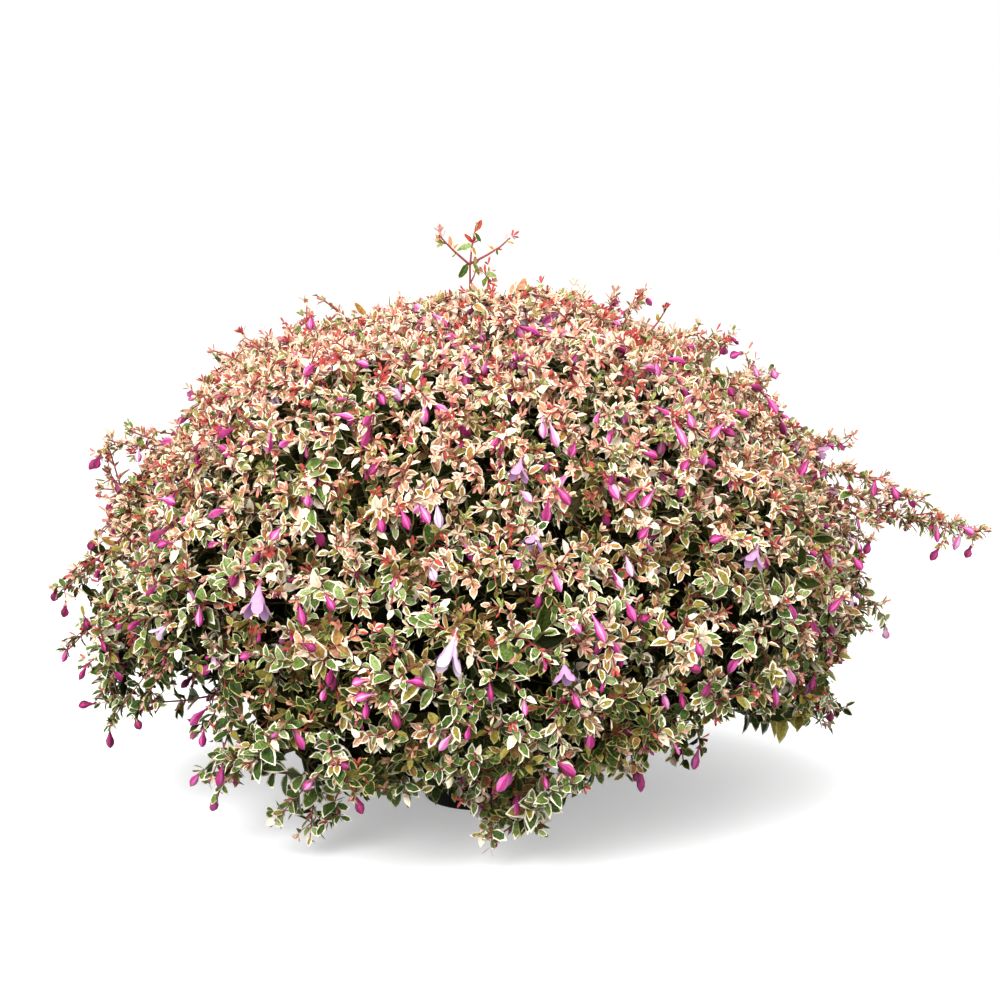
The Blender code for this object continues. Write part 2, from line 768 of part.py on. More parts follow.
def fuse(base):
    """Joins everything among the operands to base, and keeps its one outer body."""
    union = base.modifiers.new("union", "BOOLEAN")
    union.operation = "UNION"
    union.operand_type = "COLLECTION"
    union.collection = collections["operands"]
    union.solver = "MANIFOLD"
    mesh = evaluated_mesh(base)
    base.modifiers.clear()
    base.data = mesh
    for operand in list(collections["operands"].objects):
        bpy.data.objects.remove(operand)
    keep_outer_body(mesh)


def keep_outer_body(mesh):
    """Drops loose scraps and the walls of sealed hollows, and leaves triangles."""
    bm = bmesh.new()
    bm.from_mesh(mesh)
    bmesh.ops.dissolve_limit(bm, angle_limit=FLAT, verts=bm.verts, edges=bm.edges)
    bmesh.ops.triangulate(bm, faces=bm.faces)
    bodies = []
    left = set(bm.verts)
    while left:
        body = {left.pop()}
        front = list(body)
        while front:
            for link in front.pop().link_edges:
                found = [vert for vert in link.verts if vert not in body]
                body.update(found)
                front += found
        left -= body
        bodies.append(body)
    largest = max(bodies, key=len)
    loose = [vert for body in bodies if body is not largest for vert in body]
    bmesh.ops.delete(bm, geom=loose, context="VERTS")
    bm.to_mesh(mesh)
    bm.free()


def grow_mass(mass, crown, rng):
    """Core, stem, twigs, leaves and flowers of one mass, made one solid."""
    base = make_core(mass, crown, rng) if mass.tier != "leader" else None
    lines, scales = plan_twigs(mass, crown)
    for i, line in enumerate(lines):
        radii = TWIG_RADIUS if i else STEM_RADIUS
        twig = make_twig(line, taper(radii["base"], radii["tip"], len(line)))
        if not base:
            base = twig
            base.name = mass.name
            collections["operands"].objects.unlink(base)
            collections["abelia"].objects.link(base)
    count = add_leaves(mass, crown, lines, scales, rng)
    fuse(base)
    return count


def main():
    for old in list(bpy.data.objects):
        bpy.data.objects.remove(old)
    for name in ("abelia", "cutters", "operands"):
        make_collection(name)
    for name in COLOURS:
        make_material(name)
    make_shapes()
    make_pot()
    make_compost()
    make_stool()
    masses = plan_masses(random.Random(11))
    limbs = plan_limbs(masses)
    for limb in limbs.values():
        add_object(limb.name, tube_curve(limb.name, limb.points, limb.radii), "bark")
    crown = Crown(masses, limbs)
    leaves = [grow_mass(mass, crown, random.Random(100 + i)) for i, mass in enumerate(masses)]
    print(f"{len(masses)} masses, {sum(leaves)} leaves, from {min(leaves)} to {max(leaves)} each")


main()
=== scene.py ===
# A variegated glossy abelia in flower, in its nursery pot: the looks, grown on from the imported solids.
# Metres, +Z up, and the front faces -Y.

import math
import random

import bmesh
import bpy
import numpy as np
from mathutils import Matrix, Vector, noise
from mathutils.kdtree import KDTree


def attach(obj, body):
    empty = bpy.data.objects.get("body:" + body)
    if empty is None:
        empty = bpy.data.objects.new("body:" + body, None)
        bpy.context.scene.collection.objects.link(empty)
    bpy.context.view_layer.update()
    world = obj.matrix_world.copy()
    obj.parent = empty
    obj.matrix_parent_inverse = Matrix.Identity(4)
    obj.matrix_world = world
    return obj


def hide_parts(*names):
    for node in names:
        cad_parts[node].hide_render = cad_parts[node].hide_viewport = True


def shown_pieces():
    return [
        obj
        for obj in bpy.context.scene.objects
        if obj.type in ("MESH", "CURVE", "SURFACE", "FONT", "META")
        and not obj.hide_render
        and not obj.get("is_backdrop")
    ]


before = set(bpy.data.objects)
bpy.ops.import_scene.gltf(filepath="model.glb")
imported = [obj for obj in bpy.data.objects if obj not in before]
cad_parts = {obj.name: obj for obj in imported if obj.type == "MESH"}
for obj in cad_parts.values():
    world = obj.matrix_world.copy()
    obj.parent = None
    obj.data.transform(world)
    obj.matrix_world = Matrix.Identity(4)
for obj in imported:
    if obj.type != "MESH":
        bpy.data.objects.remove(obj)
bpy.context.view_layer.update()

up = Vector((0, 0, 1))


# Camera, light and floor

photoView = dict(distance=2.2, elevation=8.5, aim=(0, 0, 0.30), lens=72, shift=(0.017, 0.030))
photoView.update(film=36, pixels=1000, farthest=100)
studio = dict(floor=(0.80, 0.80, 0.80), fleck=0.995, fleckScale=3.0, roughness=0.9, glow=0.34, floorSize=60)
studio.update(sky=(1.0, 1.0, 1.0), below=(0.10, 0.10, 0.10), horizon=(-0.35, -0.08))
lamps = {
    "key": dict(place=(-1.1, -3.0, 2.1), size=1.6, power=176),
    "fill": dict(place=(2.4, -2.4, 1.4), size=2.2, power=44),
    "top": dict(place=(0.2, 0.4, 3.4), size=2.2, power=36),
}


def directionOf(azimuth, elevation):
    flat = math.cos(elevation)
    return Vector((flat * math.cos(azimuth), flat * math.sin(azimuth), math.sin(elevation)))


def ramp(value, start, span):
    # how far a value has come on its way from a start over a span, from 0 to 1
    return min(max((value - start) / span, 0), 1)


def makeCamera():
    data = bpy.data.cameras.new("camera")
    data.lens = photoView["lens"]
    data.shift_x, data.shift_y = photoView["shift"]
    data.clip_end = photoView["farthest"]
    camera = bpy.data.objects.new("camera", data)
    tilt = math.radians(photoView["elevation"])
    camera.location = Vector(photoView["aim"]) + directionOf(-math.pi / 2, tilt) * photoView["distance"]
    camera.rotation_euler = (math.pi / 2 - tilt, 0, 0)
    bpy.context.scene.collection.objects.link(camera)
    bpy.context.scene.camera = camera
    return camera


class Wire:
    # a value in a material: sums written on it add their Math nodes
    def __init__(self, paint, socket):
        self.paint = paint
        self.socket = socket

    def math(self, operation, a, b):
        return self.paint.node("ShaderNodeMath", dict(operation=operation), {0: a, 1: b})

    def __add__(self, other):
        return self.math("ADD", self, other)

    def __radd__(self, other):
        return self.math("ADD", other, self)

    def __sub__(self, other):
        return self.math("SUBTRACT", self, other)

    def __rsub__(self, other):
        return self.math("SUBTRACT", other, self)

    def __mul__(self, other):
        return self.math("MULTIPLY", self, other)

    def __rmul__(self, other):
        return self.math("MULTIPLY", other, self)


class Paint:
    # a material or world, with one method that adds any node to it
    def __init__(self, name, blocks=bpy.data.materials, shader="Principled BSDF"):
        self.material = blocks.new(name)
        self.material.use_nodes = True
        self.tree = self.material.node_tree
        self.shader = self.tree.nodes[shader]

    def feed(self, socket, value):
        if isinstance(value, Wire):
            self.tree.links.new(value.socket, socket)
        elif socket.type == "RGBA":
            socket.default_value = (*value, 1)
        else:
            socket.default_value = value

    def node(self, kind, settings, sockets, output=0):
        made = self.tree.nodes.new(kind)
        for key, value in settings.items():
            setattr(made, key, value)
        for key, value in sockets.items():
            self.feed(made.inputs[key], value)
        return Wire(self, made.outputs[output])

    def place(self):
        return self.node("ShaderNodeTexCoord", {}, {}, "Object")

    def cloud(self, scale, detail=2.0):
        sockets = dict(Vector=self.place(), Scale=scale, Detail=detail)
        return self.node("ShaderNodeTexNoise", {}, sockets)

    def blend(self, share, a, b):
        return self.node("ShaderNodeMix", dict(data_type="RGBA"), {0: share, 6: a, 7: b}, 2)

    def finish(self, colour, roughness, relief=None, depth=0.0, **fixed):
        self.feed(self.shader.inputs["Base Color"], colour)
        self.feed(self.shader.inputs["Roughness"], roughness)
        if relief:
            bump = self.node("ShaderNodeBump", {}, dict(Height=relief, Distance=depth, Strength=1.0))
            self.feed(self.shader.inputs["Normal"], bump)
        for name, value in fixed.items():
            self.shader.inputs[name.replace("_", " ")].default_value = value
        return self.material


def makeStage():
    bpy.ops.mesh.primitive_plane_add(size=studio["floorSize"])
    floor = bpy.context.object
    floor.name = "floor"
    paint = Paint("pale_floor")
    fleck = [part * studio["fleck"] for part in studio["floor"]]
    shade = paint.blend(paint.cloud(studio["fleckScale"]), studio["floor"], fleck)
    floor.data.materials.append(paint.finish(shade, studio["roughness"], Emission_Strength=studio["glow"]))
    # the photographed plant is cut out, so the white floor throws no light up into it
    floor.visible_diffuse = False
    floor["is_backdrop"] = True
    air = Paint("studio", bpy.data.worlds, "Background")
    way = air.node("ShaderNodeTexCoord", {}, {}, "Generated")
    height = air.node("ShaderNodeSeparateXYZ", {}, dict(Vector=way), "Z")
    share = air.node("ShaderNodeMapRange", {}, {0: height, 1: studio["horizon"][0], 2: studio["horizon"][1]})
    air.feed(air.shader.inputs["Color"], air.blend(share, studio["below"], studio["sky"]))
    bpy.context.scene.world = air.material
    for name, lamp in lamps.items():
        data = bpy.data.lights.new(name, "AREA")
        data.size, data.energy = lamp["size"], lamp["power"]
        made = bpy.data.objects.new(name, data)
        made.location = lamp["place"]
        aim = Vector(photoView["aim"]) - made.location
        made.rotation_euler = aim.to_track_quat("-Z", "Y").to_euler()
        bpy.context.scene.collection.objects.link(made)
    bpy.context.scene.view_settings.view_transform = "Standard"


def pictureFrame():
    # the picture's right, up and back, its focal length in pixels, and the pixel straight ahead
    right, upward, back = camera.rotation_euler.to_matrix().transposed()
    focal = photoView["lens"] / photoView["film"] * photoView["pixels"]
    middle = [photoView["pixels"] * (0.5 + sign * share) for sign, share in zip((-1, 1), photoView["shift"])]
    return right, upward, back, focal, middle


def pixelOf(place):
    right, upward, back, focal, middle = pictureFrame()
    out = place - camera.location
    focal /= -out.dot(back)
    return middle[0] + focal * out.dot(right), middle[1] - focal * out.dot(upward)


def sightLine(x, y):
    # the way from the camera through a pixel of the photograph, and the picture's right and up
    right, upward, back, focal, middle = pictureFrame()
    return right * (x - middle[0]) / focal - upward * (y - middle[1]) / focal - back, right, upward


def placeAt(x, y, plane):
    # the place that a pixel shows in the upright plane Y = plane
    way = sightLine(x, y)[0]
    return camera.location + way * ((plane - camera.location.y) / way.y)


camera = makeCamera()
makeStage()
print("camera, floor and lights are set")


# The plan of the plant: the same masses and limbs as the solids have

gap = 0.0003
pot = dict(height=0.165, baseRadius=0.065, topRadius=0.083, wall=0.002, floor=0.004)
pot.update(rimHeight=0.014, rimOverhang=0.004, holes=8, holeRadius=0.006, holeInset=0.013)
compost = dict(top=0.150, fall=0.003, flat=0.041)
stool = dict(radius=0.034, height=0.022, foot=0.038, shoulder=math.radians(12))
crown = dict(centre=Vector((0, 0, 0.25)), halfWidth=0.445, rise=0.330, drop=0.27, fullness=2.2)
crown.update(valley=0.09, halfAngle=math.radians(30), leastBulge=0.5, cellDepth=0.72)
crown.update(cellMargin=0.001, potClearance=0.006, groundClearance=0.012, limbClearance=0.004)
underside = dict(front=0.036, sides=0.080)
tiers = {
    "low": dict(count=8, azimuth=22.5, elevation=-34, lift=12, reach=1.03),
    "side": dict(count=8, azimuth=0, elevation=-3, lift=7, reach=1.0),
    "shoulder": dict(count=8, azimuth=-20, elevation=36, lift=0, reach=1.0),
    "top": dict(count=3, azimuth=30, elevation=74, lift=0, reach=1.0),
}
play = dict(azimuth=4.0, elevation=3.0, reach=0.03)
leader = dict(height=0.600, lean=Vector((-0.012, 0, 0)), entry=0.085)
limbs = dict(points=7, entry=0.034, sideRing=0.65, topRing=0.30, facetShare=0.96, stemPull=0.38)
radii = {
    "side": (0.0046, 0.0020),
    "top": (0.0036, 0.0018),
    "leader": (0.0036, 0.0018),
    "low": (0.0027, 0.0016),
    "shoulder": (0.0027, 0.0016),
}
courses = {
    "side": dict(arrival=-6, core=0.058, pull=0.45),
    "top": dict(arrival=68, core=0.048, pull=0.38),
    "low": dict(share=0.30, start=30, arrival=-38, core=0.040, pull=0.42),
    "shoulder": dict(share=0.46, start=62, arrival=38, core=0.052, pull=0.42),
}
strayTips = [
    (-0.457, -0.06, 0.246),
    (-0.411, -0.05, 0.405),
    (-0.400, -0.12, 0.130),
    (-0.283, -0.20, 0.062),
    (-0.168, -0.25, 0.020),
    (0.007, -0.27, 0.021),
    (0.060, 0.45, 0.180),
]

# Loose sprays along the outline, each as a pixel of the photograph and the upright plane that its tip reaches,
# and for some the pixel that it springs from
sprays = [
    (168, 448, -0.04), (150, 444, -0.05), (132, 444, -0.05), (152, 430, -0.04), (128, 430, -0.05), (108, 440, -0.05),
    (176, 424, 0.00), (188, 388, 0.00), (210, 348, 0.00), (112, 498, -0.05),
    (240, 338, 0.00), (262, 336, 0.05), (286, 325, 0.00), (330, 302, 0.05, 342, 322), (314, 292, 0.05, 330, 306),
    (305, 299, 0.05, 318, 310), (308, 312, 0.05, 322, 326), (360, 312, 0.05, 364, 326),
    (574, 287, 0.00), (584, 290, 0.00), (613, 301, 0.00), (637, 294, 0.00), (646, 287, 0.00),
    (667, 308, -0.03), (697, 325, 0.00), (716, 330, 0.00), (733, 333, 0.00), (757, 359, 0.00), (775, 374, 0.00),
    (815, 432, -0.02), (834, 436, -0.02), (853, 435, -0.02), (845, 464, -0.04), (857, 470, -0.05), (884, 479, -0.05),
    (868, 500, -0.05), (884, 504, -0.05), (899, 512, -0.05), (905, 494, -0.05), (926, 497, -0.05), (918, 519, -0.05),
    (936, 512, -0.05), (935, 524, -0.05), (955, 523, -0.05), (970, 531, -0.05), (984, 530, -0.05), (868, 518, -0.05),
    (882, 528, -0.05), (866, 541, -0.06), (868, 580, -0.05), (880, 606, -0.05), (866, 630, -0.05),
    (99, 488, -0.05), (97, 534, -0.06), (106, 514, -0.06), (72, 568, -0.08), (62, 586, -0.08), (84, 633, -0.08),
    (63, 652, -0.08), (78, 668, -0.10), (92, 702, -0.12), (112, 716, -0.14), (136, 712, -0.16), (226, 768, -0.24),
    (214, 798, -0.24), (206, 786, -0.24), (272, 824, -0.27), (308, 842, -0.25), (492, 846, -0.30), (190, 684, -0.16),
    (197, 734, -0.20), (645, 771, -0.27), (626, 777, -0.28), (686, 764, -0.24), (704, 752, -0.22),
    (545, 838, -0.30), (830, 727, -0.10), (846, 712, -0.05),
]

# The dense crown's outline in the photograph, which only the loose sprays and flowers pass
outline = [
    (90, 565), (100, 527), (116, 495), (126, 470), (150, 445), (186, 425), (190, 390), (212, 352), (240, 333),
    (285, 325), (305, 315), (320, 295), (345, 303), (370, 308), (405, 290), (450, 286), (505, 285), (530, 278),
    (580, 288), (600, 302), (640, 298), (652, 315), (680, 323), (712, 332), (730, 338), (716, 352), (706, 360),
    (712, 372), (735, 374), (748, 362), (765, 365), (780, 392), (790, 415), (830, 432), (855, 445), (860, 475),
    (885, 490), (930, 500), (975, 528), (975, 545), (930, 537), (873, 537), (865, 560), (878, 595), (886, 620),
    (866, 645), (840, 665), (842, 700), (835, 722), (800, 722), (755, 718), (722, 728), (692, 740), (688, 762),
    (650, 765), (632, 776), (614, 790), (606, 804), (556, 806), (547, 826), (505, 844), (488, 844), (478, 822),
    (458, 814), (437, 803), (410, 810), (385, 812), (345, 806), (326, 790), (306, 768), (268, 756), (248, 766),
    (232, 780), (220, 792), (206, 784), (216, 745), (204, 700), (180, 680), (100, 682), (85, 670), (82, 640),
    (85, 610),
]

# The most conspicuous flowers: pixel of the middle, length in pixels, turn from hanging straight down, and the
# upright plane of those that hang outside the crown
showFlowers = {
    "magenta": [
        (381, 522, 24, 10), (404, 518, 28, 24), (547, 510, 30, -8), (561, 494, 30, 40), (301, 613, 27, 14),
        (837, 604, 24, -46), (220, 448, 20, 62), (340, 766, 20, 80), (413, 683, 24, 84), (648, 455, 20, 78),
        (719, 539, 22, -76), (573, 448, 20, -20), (698, 647, 20, 24), (686, 464, 18, -36), (518, 561, 20, -14),
        (645, 532, 20, -44), (249, 656, 19, -78), (166, 544, 18, -79), (805, 466, 24, -30), (329, 602, 21, 30),
        (634, 495, 22, -48), (740, 413, 19, 70), (894, 491, 19, 25, -0.06), (856, 562, 20, 36),
        (737, 355, 17, -75, 0.0),
    ],
    "orchid": [
        (423, 512, 29, 30), (597, 626, 38, 26), (649, 498, 27, -36), (679, 433, 33, 26), (718, 430, 25, -44),
        (690, 419, 20, 20), (360, 364, 20, 78), (311, 782, 21, -41), (574, 627, 19, 48), (366, 697, 24, -76),
        (361, 682, 19, -78), (657, 368, 20, 8), (704, 458, 17, -11), (277, 533, 20, -40), (166, 501, 22, 77),
        (281, 382, 24, 36), (308, 499, 17, 3), (966, 530, 17, 60, -0.06), (311, 322, 17, 4),
        (774, 373, 13, 22, 0.0),
    ],
    "plum": [
        (358, 803, 24, 22), (395, 718, 22, 22), (376, 467, 22, -42), (110, 737, 22, 2, -0.15), (308, 647, 19, 65),
        (691, 669, 20, 80), (682, 491, 16, -28), (936, 553, 20, -36, -0.06), (969, 551, 16, -26, -0.06),
        (868, 546, 19, -22, -0.07), (98, 461, 17, -22, -0.06), (93, 543, 16, -32, -0.07), (55, 594, 15, -15, -0.09),
        (65, 609, 17, -10, -0.09), (86, 622, 14, 20, -0.09), (724, 349, 13, -5), (615, 301, 13, -15, 0.0),
        (830, 713, 18, 2, -0.10), (647, 618, 15, -70), (137, 722, 17, 24, -0.16), (89, 705, 20, -84, -0.12),
    ],
    "lilac": [(543, 426, 27, 4), (886, 632, 14, 5, -0.05)],
    "white": [(438, 514, 31, 8), (432, 572, 21, 20)],
    "white_bell": [(451, 650, 46, -16)],
    "mauve_bell": [
        (258, 598, 40, -6), (565, 671, 26, 4), (535, 538, 22, -20), (755, 555, 24, -20), (519, 468, 24, -14),
    ],
}

# The leader's shoots and leaves, as pixels and upright planes too: a leaf has its foot, its tip and its colour
leaderShoots = [
    [(470, 300, 0), (470, 266, 0), (472, 246, -0.002), (475, 231, -0.004)],
    [(470, 265, 0), (455, 252, -0.010), (446, 243, -0.017), (439, 235, -0.022)],
    [(470, 264, 0), (487, 255, 0.009), (500, 247, 0.015), (510, 238, 0.020)],
    [(470, 284, 0), (474, 276, -0.004), (476, 270, -0.007)],
    [(446, 243, -0.017), (438, 242, -0.018)],
    [(470, 314, 0), (481, 303, 0.004), (488, 286, 0.008), (489, 267, 0.010)],
    [(488, 286, 0.008), (494, 281, 0.012)],
    [(488, 279, 0.009), (485, 273, 0.006)],
]
leaderLeaves = [
    (466, 264, 458, 281, "deep_green"), (474, 264, 481, 277, "mid_green"), (471, 244, 455, 251, "grey_green"),
    (476, 232, 482, 243, "deep_green"), (474, 246, 477, 257, "tan"), (497, 246, 487, 244, "tan"),
    (501, 247, 498, 256, "deep_green"), (449, 246, 459, 242, "tan"), (453, 251, 451, 258, "mid_green"),
    (471, 283, 477, 292, "mid_green"), (471, 288, 475, 297, "mid_green"), (473, 233, 467, 234, "olive"),
    (439, 236, 435, 232, "peach"), (440, 242, 434, 241, "peach"), (471, 243, 463, 232, "rose"),
    (475, 232, 483, 218, "rose"), (511, 238, 516, 244, "tan"), (501, 247, 504, 250, "rose"),
    (446, 244, 449, 234, "peach"), (477, 271, 471, 268, "peach"), (470, 298, 477, 304, "mid_green"),
    (489, 269, 500, 277, "grey_green"), (488, 279, 482, 289, "mid_green"), (489, 290, 497, 297, "deep_green"),
    (485, 297, 479, 304, "peach"), (494, 282, 500, 287, "rose"), (489, 268, 485, 262, "rose"),
]


class Mass:
    def __init__(self, tier, number, azimuth, elevation, reach):
        self.tier = tier
        self.number = number
        self.name = f"{tier}_foliage_{number}"
        self.azimuth = math.radians(azimuth)
        self.direction = directionOf(self.azimuth, math.radians(elevation))
        self.reach = reach
        self.centre = crown["centre"] + self.direction * self.surface(self.direction) * crown["cellDepth"]
        rise = underside["sides"] - underside["front"]
        self.underside = underside["front"] + rise * abs(math.cos(self.azimuth))
        self.strays = []
        self.sprays = []
        self.blooms = []

    def surface(self, direction):
        turn = self.direction.angle(direction) / crown["halfAngle"]
        return crownRadius(direction) * self.reach * max(1 - crown["valley"] * turn**2, crown["leastBulge"])


def crownRadius(direction):
    flat = math.hypot(direction.x, direction.y) / crown["halfWidth"]
    tall = abs(direction.z) / (crown["rise"] if direction.z > 0 else crown["drop"])
    return (flat ** crown["fullness"] + tall ** crown["fullness"]) ** (-1 / crown["fullness"])


def curvePoints(start, startHeading, end, endHeading, count, pull):
    reach = (end - start).length * pull
    a, b = start + startHeading * reach, end - endHeading * reach
    points = []
    for i in range(count):
        t = i / (count - 1)
        s = 1 - t
        points.append(start * s**3 + a * (3 * s * s * t) + b * (3 * s * t * t) + end * t**3)
    return points


def nearestMass(masses, place):
    return min(masses, key=lambda mass: (mass.centre - place).length)


def planMasses(rng):
    masses = []
    for tier, plan in tiers.items():
        for i in range(plan["count"]):
            azimuth = plan["azimuth"] + 360 * i / plan["count"] + rng.uniform(-1, 1) * play["azimuth"]
            elevation = plan["elevation"] + plan["lift"] * abs(math.cos(math.radians(azimuth)))
            elevation += rng.uniform(-1, 1) * play["elevation"]
            reach = plan["reach"] + rng.uniform(-1, 1) * play["reach"]
            masses.append(Mass(tier, i + 1, azimuth, elevation, reach))
    for tip in map(Vector, strayTips):
        owner = nearestMass(masses, tip)
        owner.strays.append(tip)
        owner.strays.sort(key=lambda place: (place - owner.centre).length)
    top = Mass("leader", 1, 180, 88, 1.0)
    top.name = "leader_foliage"
    top.centre = leader["lean"] + up * leader["height"]
    return masses + [top]


# How a line of sight is followed to the crown, and how far a shown flower turns towards the camera
search = dict(start=1.6, step=0.003, steps=400, lowest=0.05, share=0.99, towards=0.25)


def meetCrown(x, y):
    # where the line of sight through a pixel first comes within the crown
    way = sightLine(x, y)[0]
    for step in range(search["steps"]):
        place = camera.location + way * (search["start"] + step * search["step"])
        out = place - crown["centre"]
        if place.z < search["lowest"] or out.length < crownRadius(out.normalized()) * search["share"]:
            break
    return place


def shareSprays(masses):
    for x, y, plane, *root in sprays:
        tip = placeAt(x, y, plane)
        nearestMass(masses, tip).sprays.append((tip, placeAt(*root, plane) if root else None))


def shareBlooms(masses):
    for kind, flowers in showFlowers.items():
        for x, y, pixels, turn, *plane in flowers:
            turn = math.radians(turn)
            half = pixels / 2
            pixel = (x - half * math.sin(turn), y - half * math.cos(turn))
            foot = placeAt(*pixel, *plane) if plane else meetCrown(*pixel)
            way, right, upward = sightLine(x, y)
            hang = right * math.sin(turn) - upward * math.cos(turn) - way * search["towards"]
            length = pixels * (foot - camera.location).length / pictureFrame()[3]
            nearestMass(masses, foot).blooms.append((foot, hang.normalized(), length, kind))


def onStool(azimuth, ring):
    radius = stool["radius"] * ring
    height = stool["height"] * math.sqrt(1 - ring * ring)
    outward = directionOf(azimuth, 0)
    heading = outward * (radius / stool["radius"] ** 2) + up * (height / stool["height"] ** 2)
    heading.normalize()
    foot = outward * radius + up * (compost["top"] + gap + height)
    return foot + heading * gap, heading


def stepsOf(points):
    return [(b - a).length for a, b in zip(points, points[1:])]


def pointAt(points, share):
    place = share * (len(points) - 1)
    i = min(int(place), len(points) - 2)
    a, b = points[i], points[i + 1]
    return a.lerp(b, place - i), (b - a).normalized()


def planLimbs(masses):
    # one limb to each mass, by the mass's name: the limb's own name and its coarse points
    plan = {}

    def limbTo(mass, start, heading):
        course = courses[mass.tier]
        arrival = directionOf(mass.azimuth, math.radians(course["arrival"]))
        end = mass.centre - arrival * (course["core"] + limbs["entry"])
        return curvePoints(start, heading, end, arrival, limbs["points"], course["pull"])

    for mass in masses:
        if mass.tier == "side":
            start, heading = onStool(mass.azimuth, limbs["sideRing"])
            plan[mass.name] = (f"side_stem_{mass.number}", limbTo(mass, start, heading))
        elif mass.tier == "top":
            start, heading = onStool(mass.azimuth, limbs["topRing"])
            plan[mass.name] = (f"top_stem_{mass.number}", limbTo(mass, start, heading))
        elif mass.tier == "leader":
            start, heading = onStool(0, 0)
            end = leader["lean"] + up * (leader["height"] - leader["entry"])
            points = curvePoints(start, heading, end, up, limbs["points"], limbs["stemPull"])
            plan[mass.name] = ("leader_stem", points)
    for mass in masses:
        if mass.tier in ("low", "shoulder"):
            course = courses[mass.tier]
            base, tip = radii["side"]
            fork, along = pointAt(plan[f"side_foliage_{mass.number}"][1], course["share"])
            radius = base + (tip - base) * course["share"]
            heading = directionOf(mass.azimuth, math.radians(course["start"]))
            across = (heading - along * heading.dot(along)).normalized()
            lean = radii[mass.tier][0] * abs(heading.dot(along))
            start = fork + across * ((radius + lean) * limbs["facetShare"] + gap)
            plan[mass.name] = (f"{mass.tier}_bough_{mass.number}", limbTo(mass, start, heading))
    return plan


masses = planMasses(random.Random(11))
shareSprays(masses)
shareBlooms(masses)
limbPlan = planLimbs(masses)
centres = np.array([mass.centre for mass in masses])
print(f"planned {len(masses)} masses and their limbs")


# Room: each mass keeps to its own space, clear of the pot, the ground and the limbs

limbSpots = 120
limbTree = KDTree(len(limbPlan) * limbSpots)
limbRadius = []
for massName, (limbName, points) in limbPlan.items():
    base, tip = radii[massName.split("_")[0]]
    for i in range(limbSpots):
        limbTree.insert(pointAt(points, i / (limbSpots - 1))[0], len(limbRadius))
        limbRadius.append(base + (tip - base) * i / (limbSpots - 1))
limbTree.balance()


def isFree(point, mass, floor):
    if point.z < floor:
        return False
    rim = pot["topRadius"] + pot["rimOverhang"] + crown["potClearance"]
    if point.z < pot["height"] + crown["potClearance"] and math.hypot(point.x, point.y) < rim:
        return False
    _, nearest, distance = limbTree.find(point)
    if distance - limbRadius[nearest] < crown["limbClearance"]:
        return False
    runs = centres - np.array(mass.centre)
    lengths = np.linalg.norm(runs, axis=1)
    lengths[lengths == 0] = np.inf
    along = runs @ (np.array(point) - np.array(mass.centre)) / lengths
    return bool(np.all(along < lengths / 2 - crown["cellMargin"]))


# Twigs: the source's rule, carried to finer shoots

growth = dict(sites=400, sourceTwigs=3, siteSpread=math.tan(math.radians(27)), inset=0.014)
growth.update(fineSpread=math.tan(math.radians(31)), siteSteps=(0.7548776662, 0.5698402910), room=12000)
growth.update(bend=0.30, stemPoints=8, twigPoints=5, shortest=0.010, shortestStalk=0.002)
growth.update(ragged=0.013, raggedIn=0.2, patches=5.5, lowestPlay=0.010, twigDrop=0.030, strayDrop=0.060)
growth.update(straySet=0.012, spraySet=0.004, sprayPull=0.12, sprayRise=0.045, lowHeight=0.10, heightSpan=0.40)
growth.update(outlineMiddle=(480, 560), tipLeaves=8, drawIn=0.04, upright=0.05, seed=300)
lowestTips = dict(
    azimuth=(-180, -165, -146, -137, -131, -120, -112, -96, -90, -79, -73, -63, -52, -35, -20, 0, 20, 90, 160, 180),
    height=(
        0.145, 0.165, 0.180, 0.140, 0.075, 0.062, 0.072, 0.066, 0.050, 0.055,
        0.085, 0.118, 0.150, 0.155, 0.145, 0.148, 0.125, 0.100, 0.110, 0.145,
    ),
)
# Where the crown stands lower than an even dome: azimuth, elevation, how much, and over what angle
dents = [
    (180, 34, 0.030, 21), (180, 30, 0.026, 9), (180, 11, 0.026, 11), (180, -6, -0.012, 9), (180, 66, 0.016, 9),
    (0, 36, 0.014, 21), (0, 31, 0.022, 8), (0, 22, -0.012, 7), (0, -4, -0.048, 10), (0, -17, 0.008, 10),
]
# Finer shoots: how deep under the crown's surface they end, and how many each mass tries
layers = {
    "inner": dict(depths=(0.078, 0.150), tries=180),
    "middle": dict(depths=(0.036, 0.082), tries=240),
    "fine": dict(depths=(0.012, 0.036), tries=520),
}
# How many times that number each tier of masses tries
density = dict(low=1.8, side=1.1, shoulder=1.35, top=1.1)
# Sprigs along a long loose shoot: where on it, and how far each goes aside, forward and up
sprigs = dict(shares=(0.50, 0.64, 0.78, 0.90), length=0.014, least=0.045, aside=0.8, forward=0.6, lift=0.25)
# Where sky shows between the shoots, low on the left of the photograph: from where and over what distance the
# shoots thin out to the left and downwards, and how many of them are left out
openings = [
    dict(left=(0.19, 0.11), low=(0.215, -0.09), share=0.75),
    dict(left=(0.08, 0.06), low=(0.135, -0.05), share=0.68),
]


def heightOf(place):
    return ramp(place.z, growth["lowHeight"], growth["heightSpan"])


def dentAt(way):
    # how much lower than an even dome the crown stands
    depth = 0
    for azimuth, elevation, most, width in dents:
        turn = way.angle(directionOf(math.radians(azimuth), math.radians(elevation)))
        depth += most * math.exp(-(turn / math.radians(width)) ** 2)
    return depth


def sunk(place):
    outward = (place - crown["centre"]).normalized()
    return place - outward * dentAt(outward)


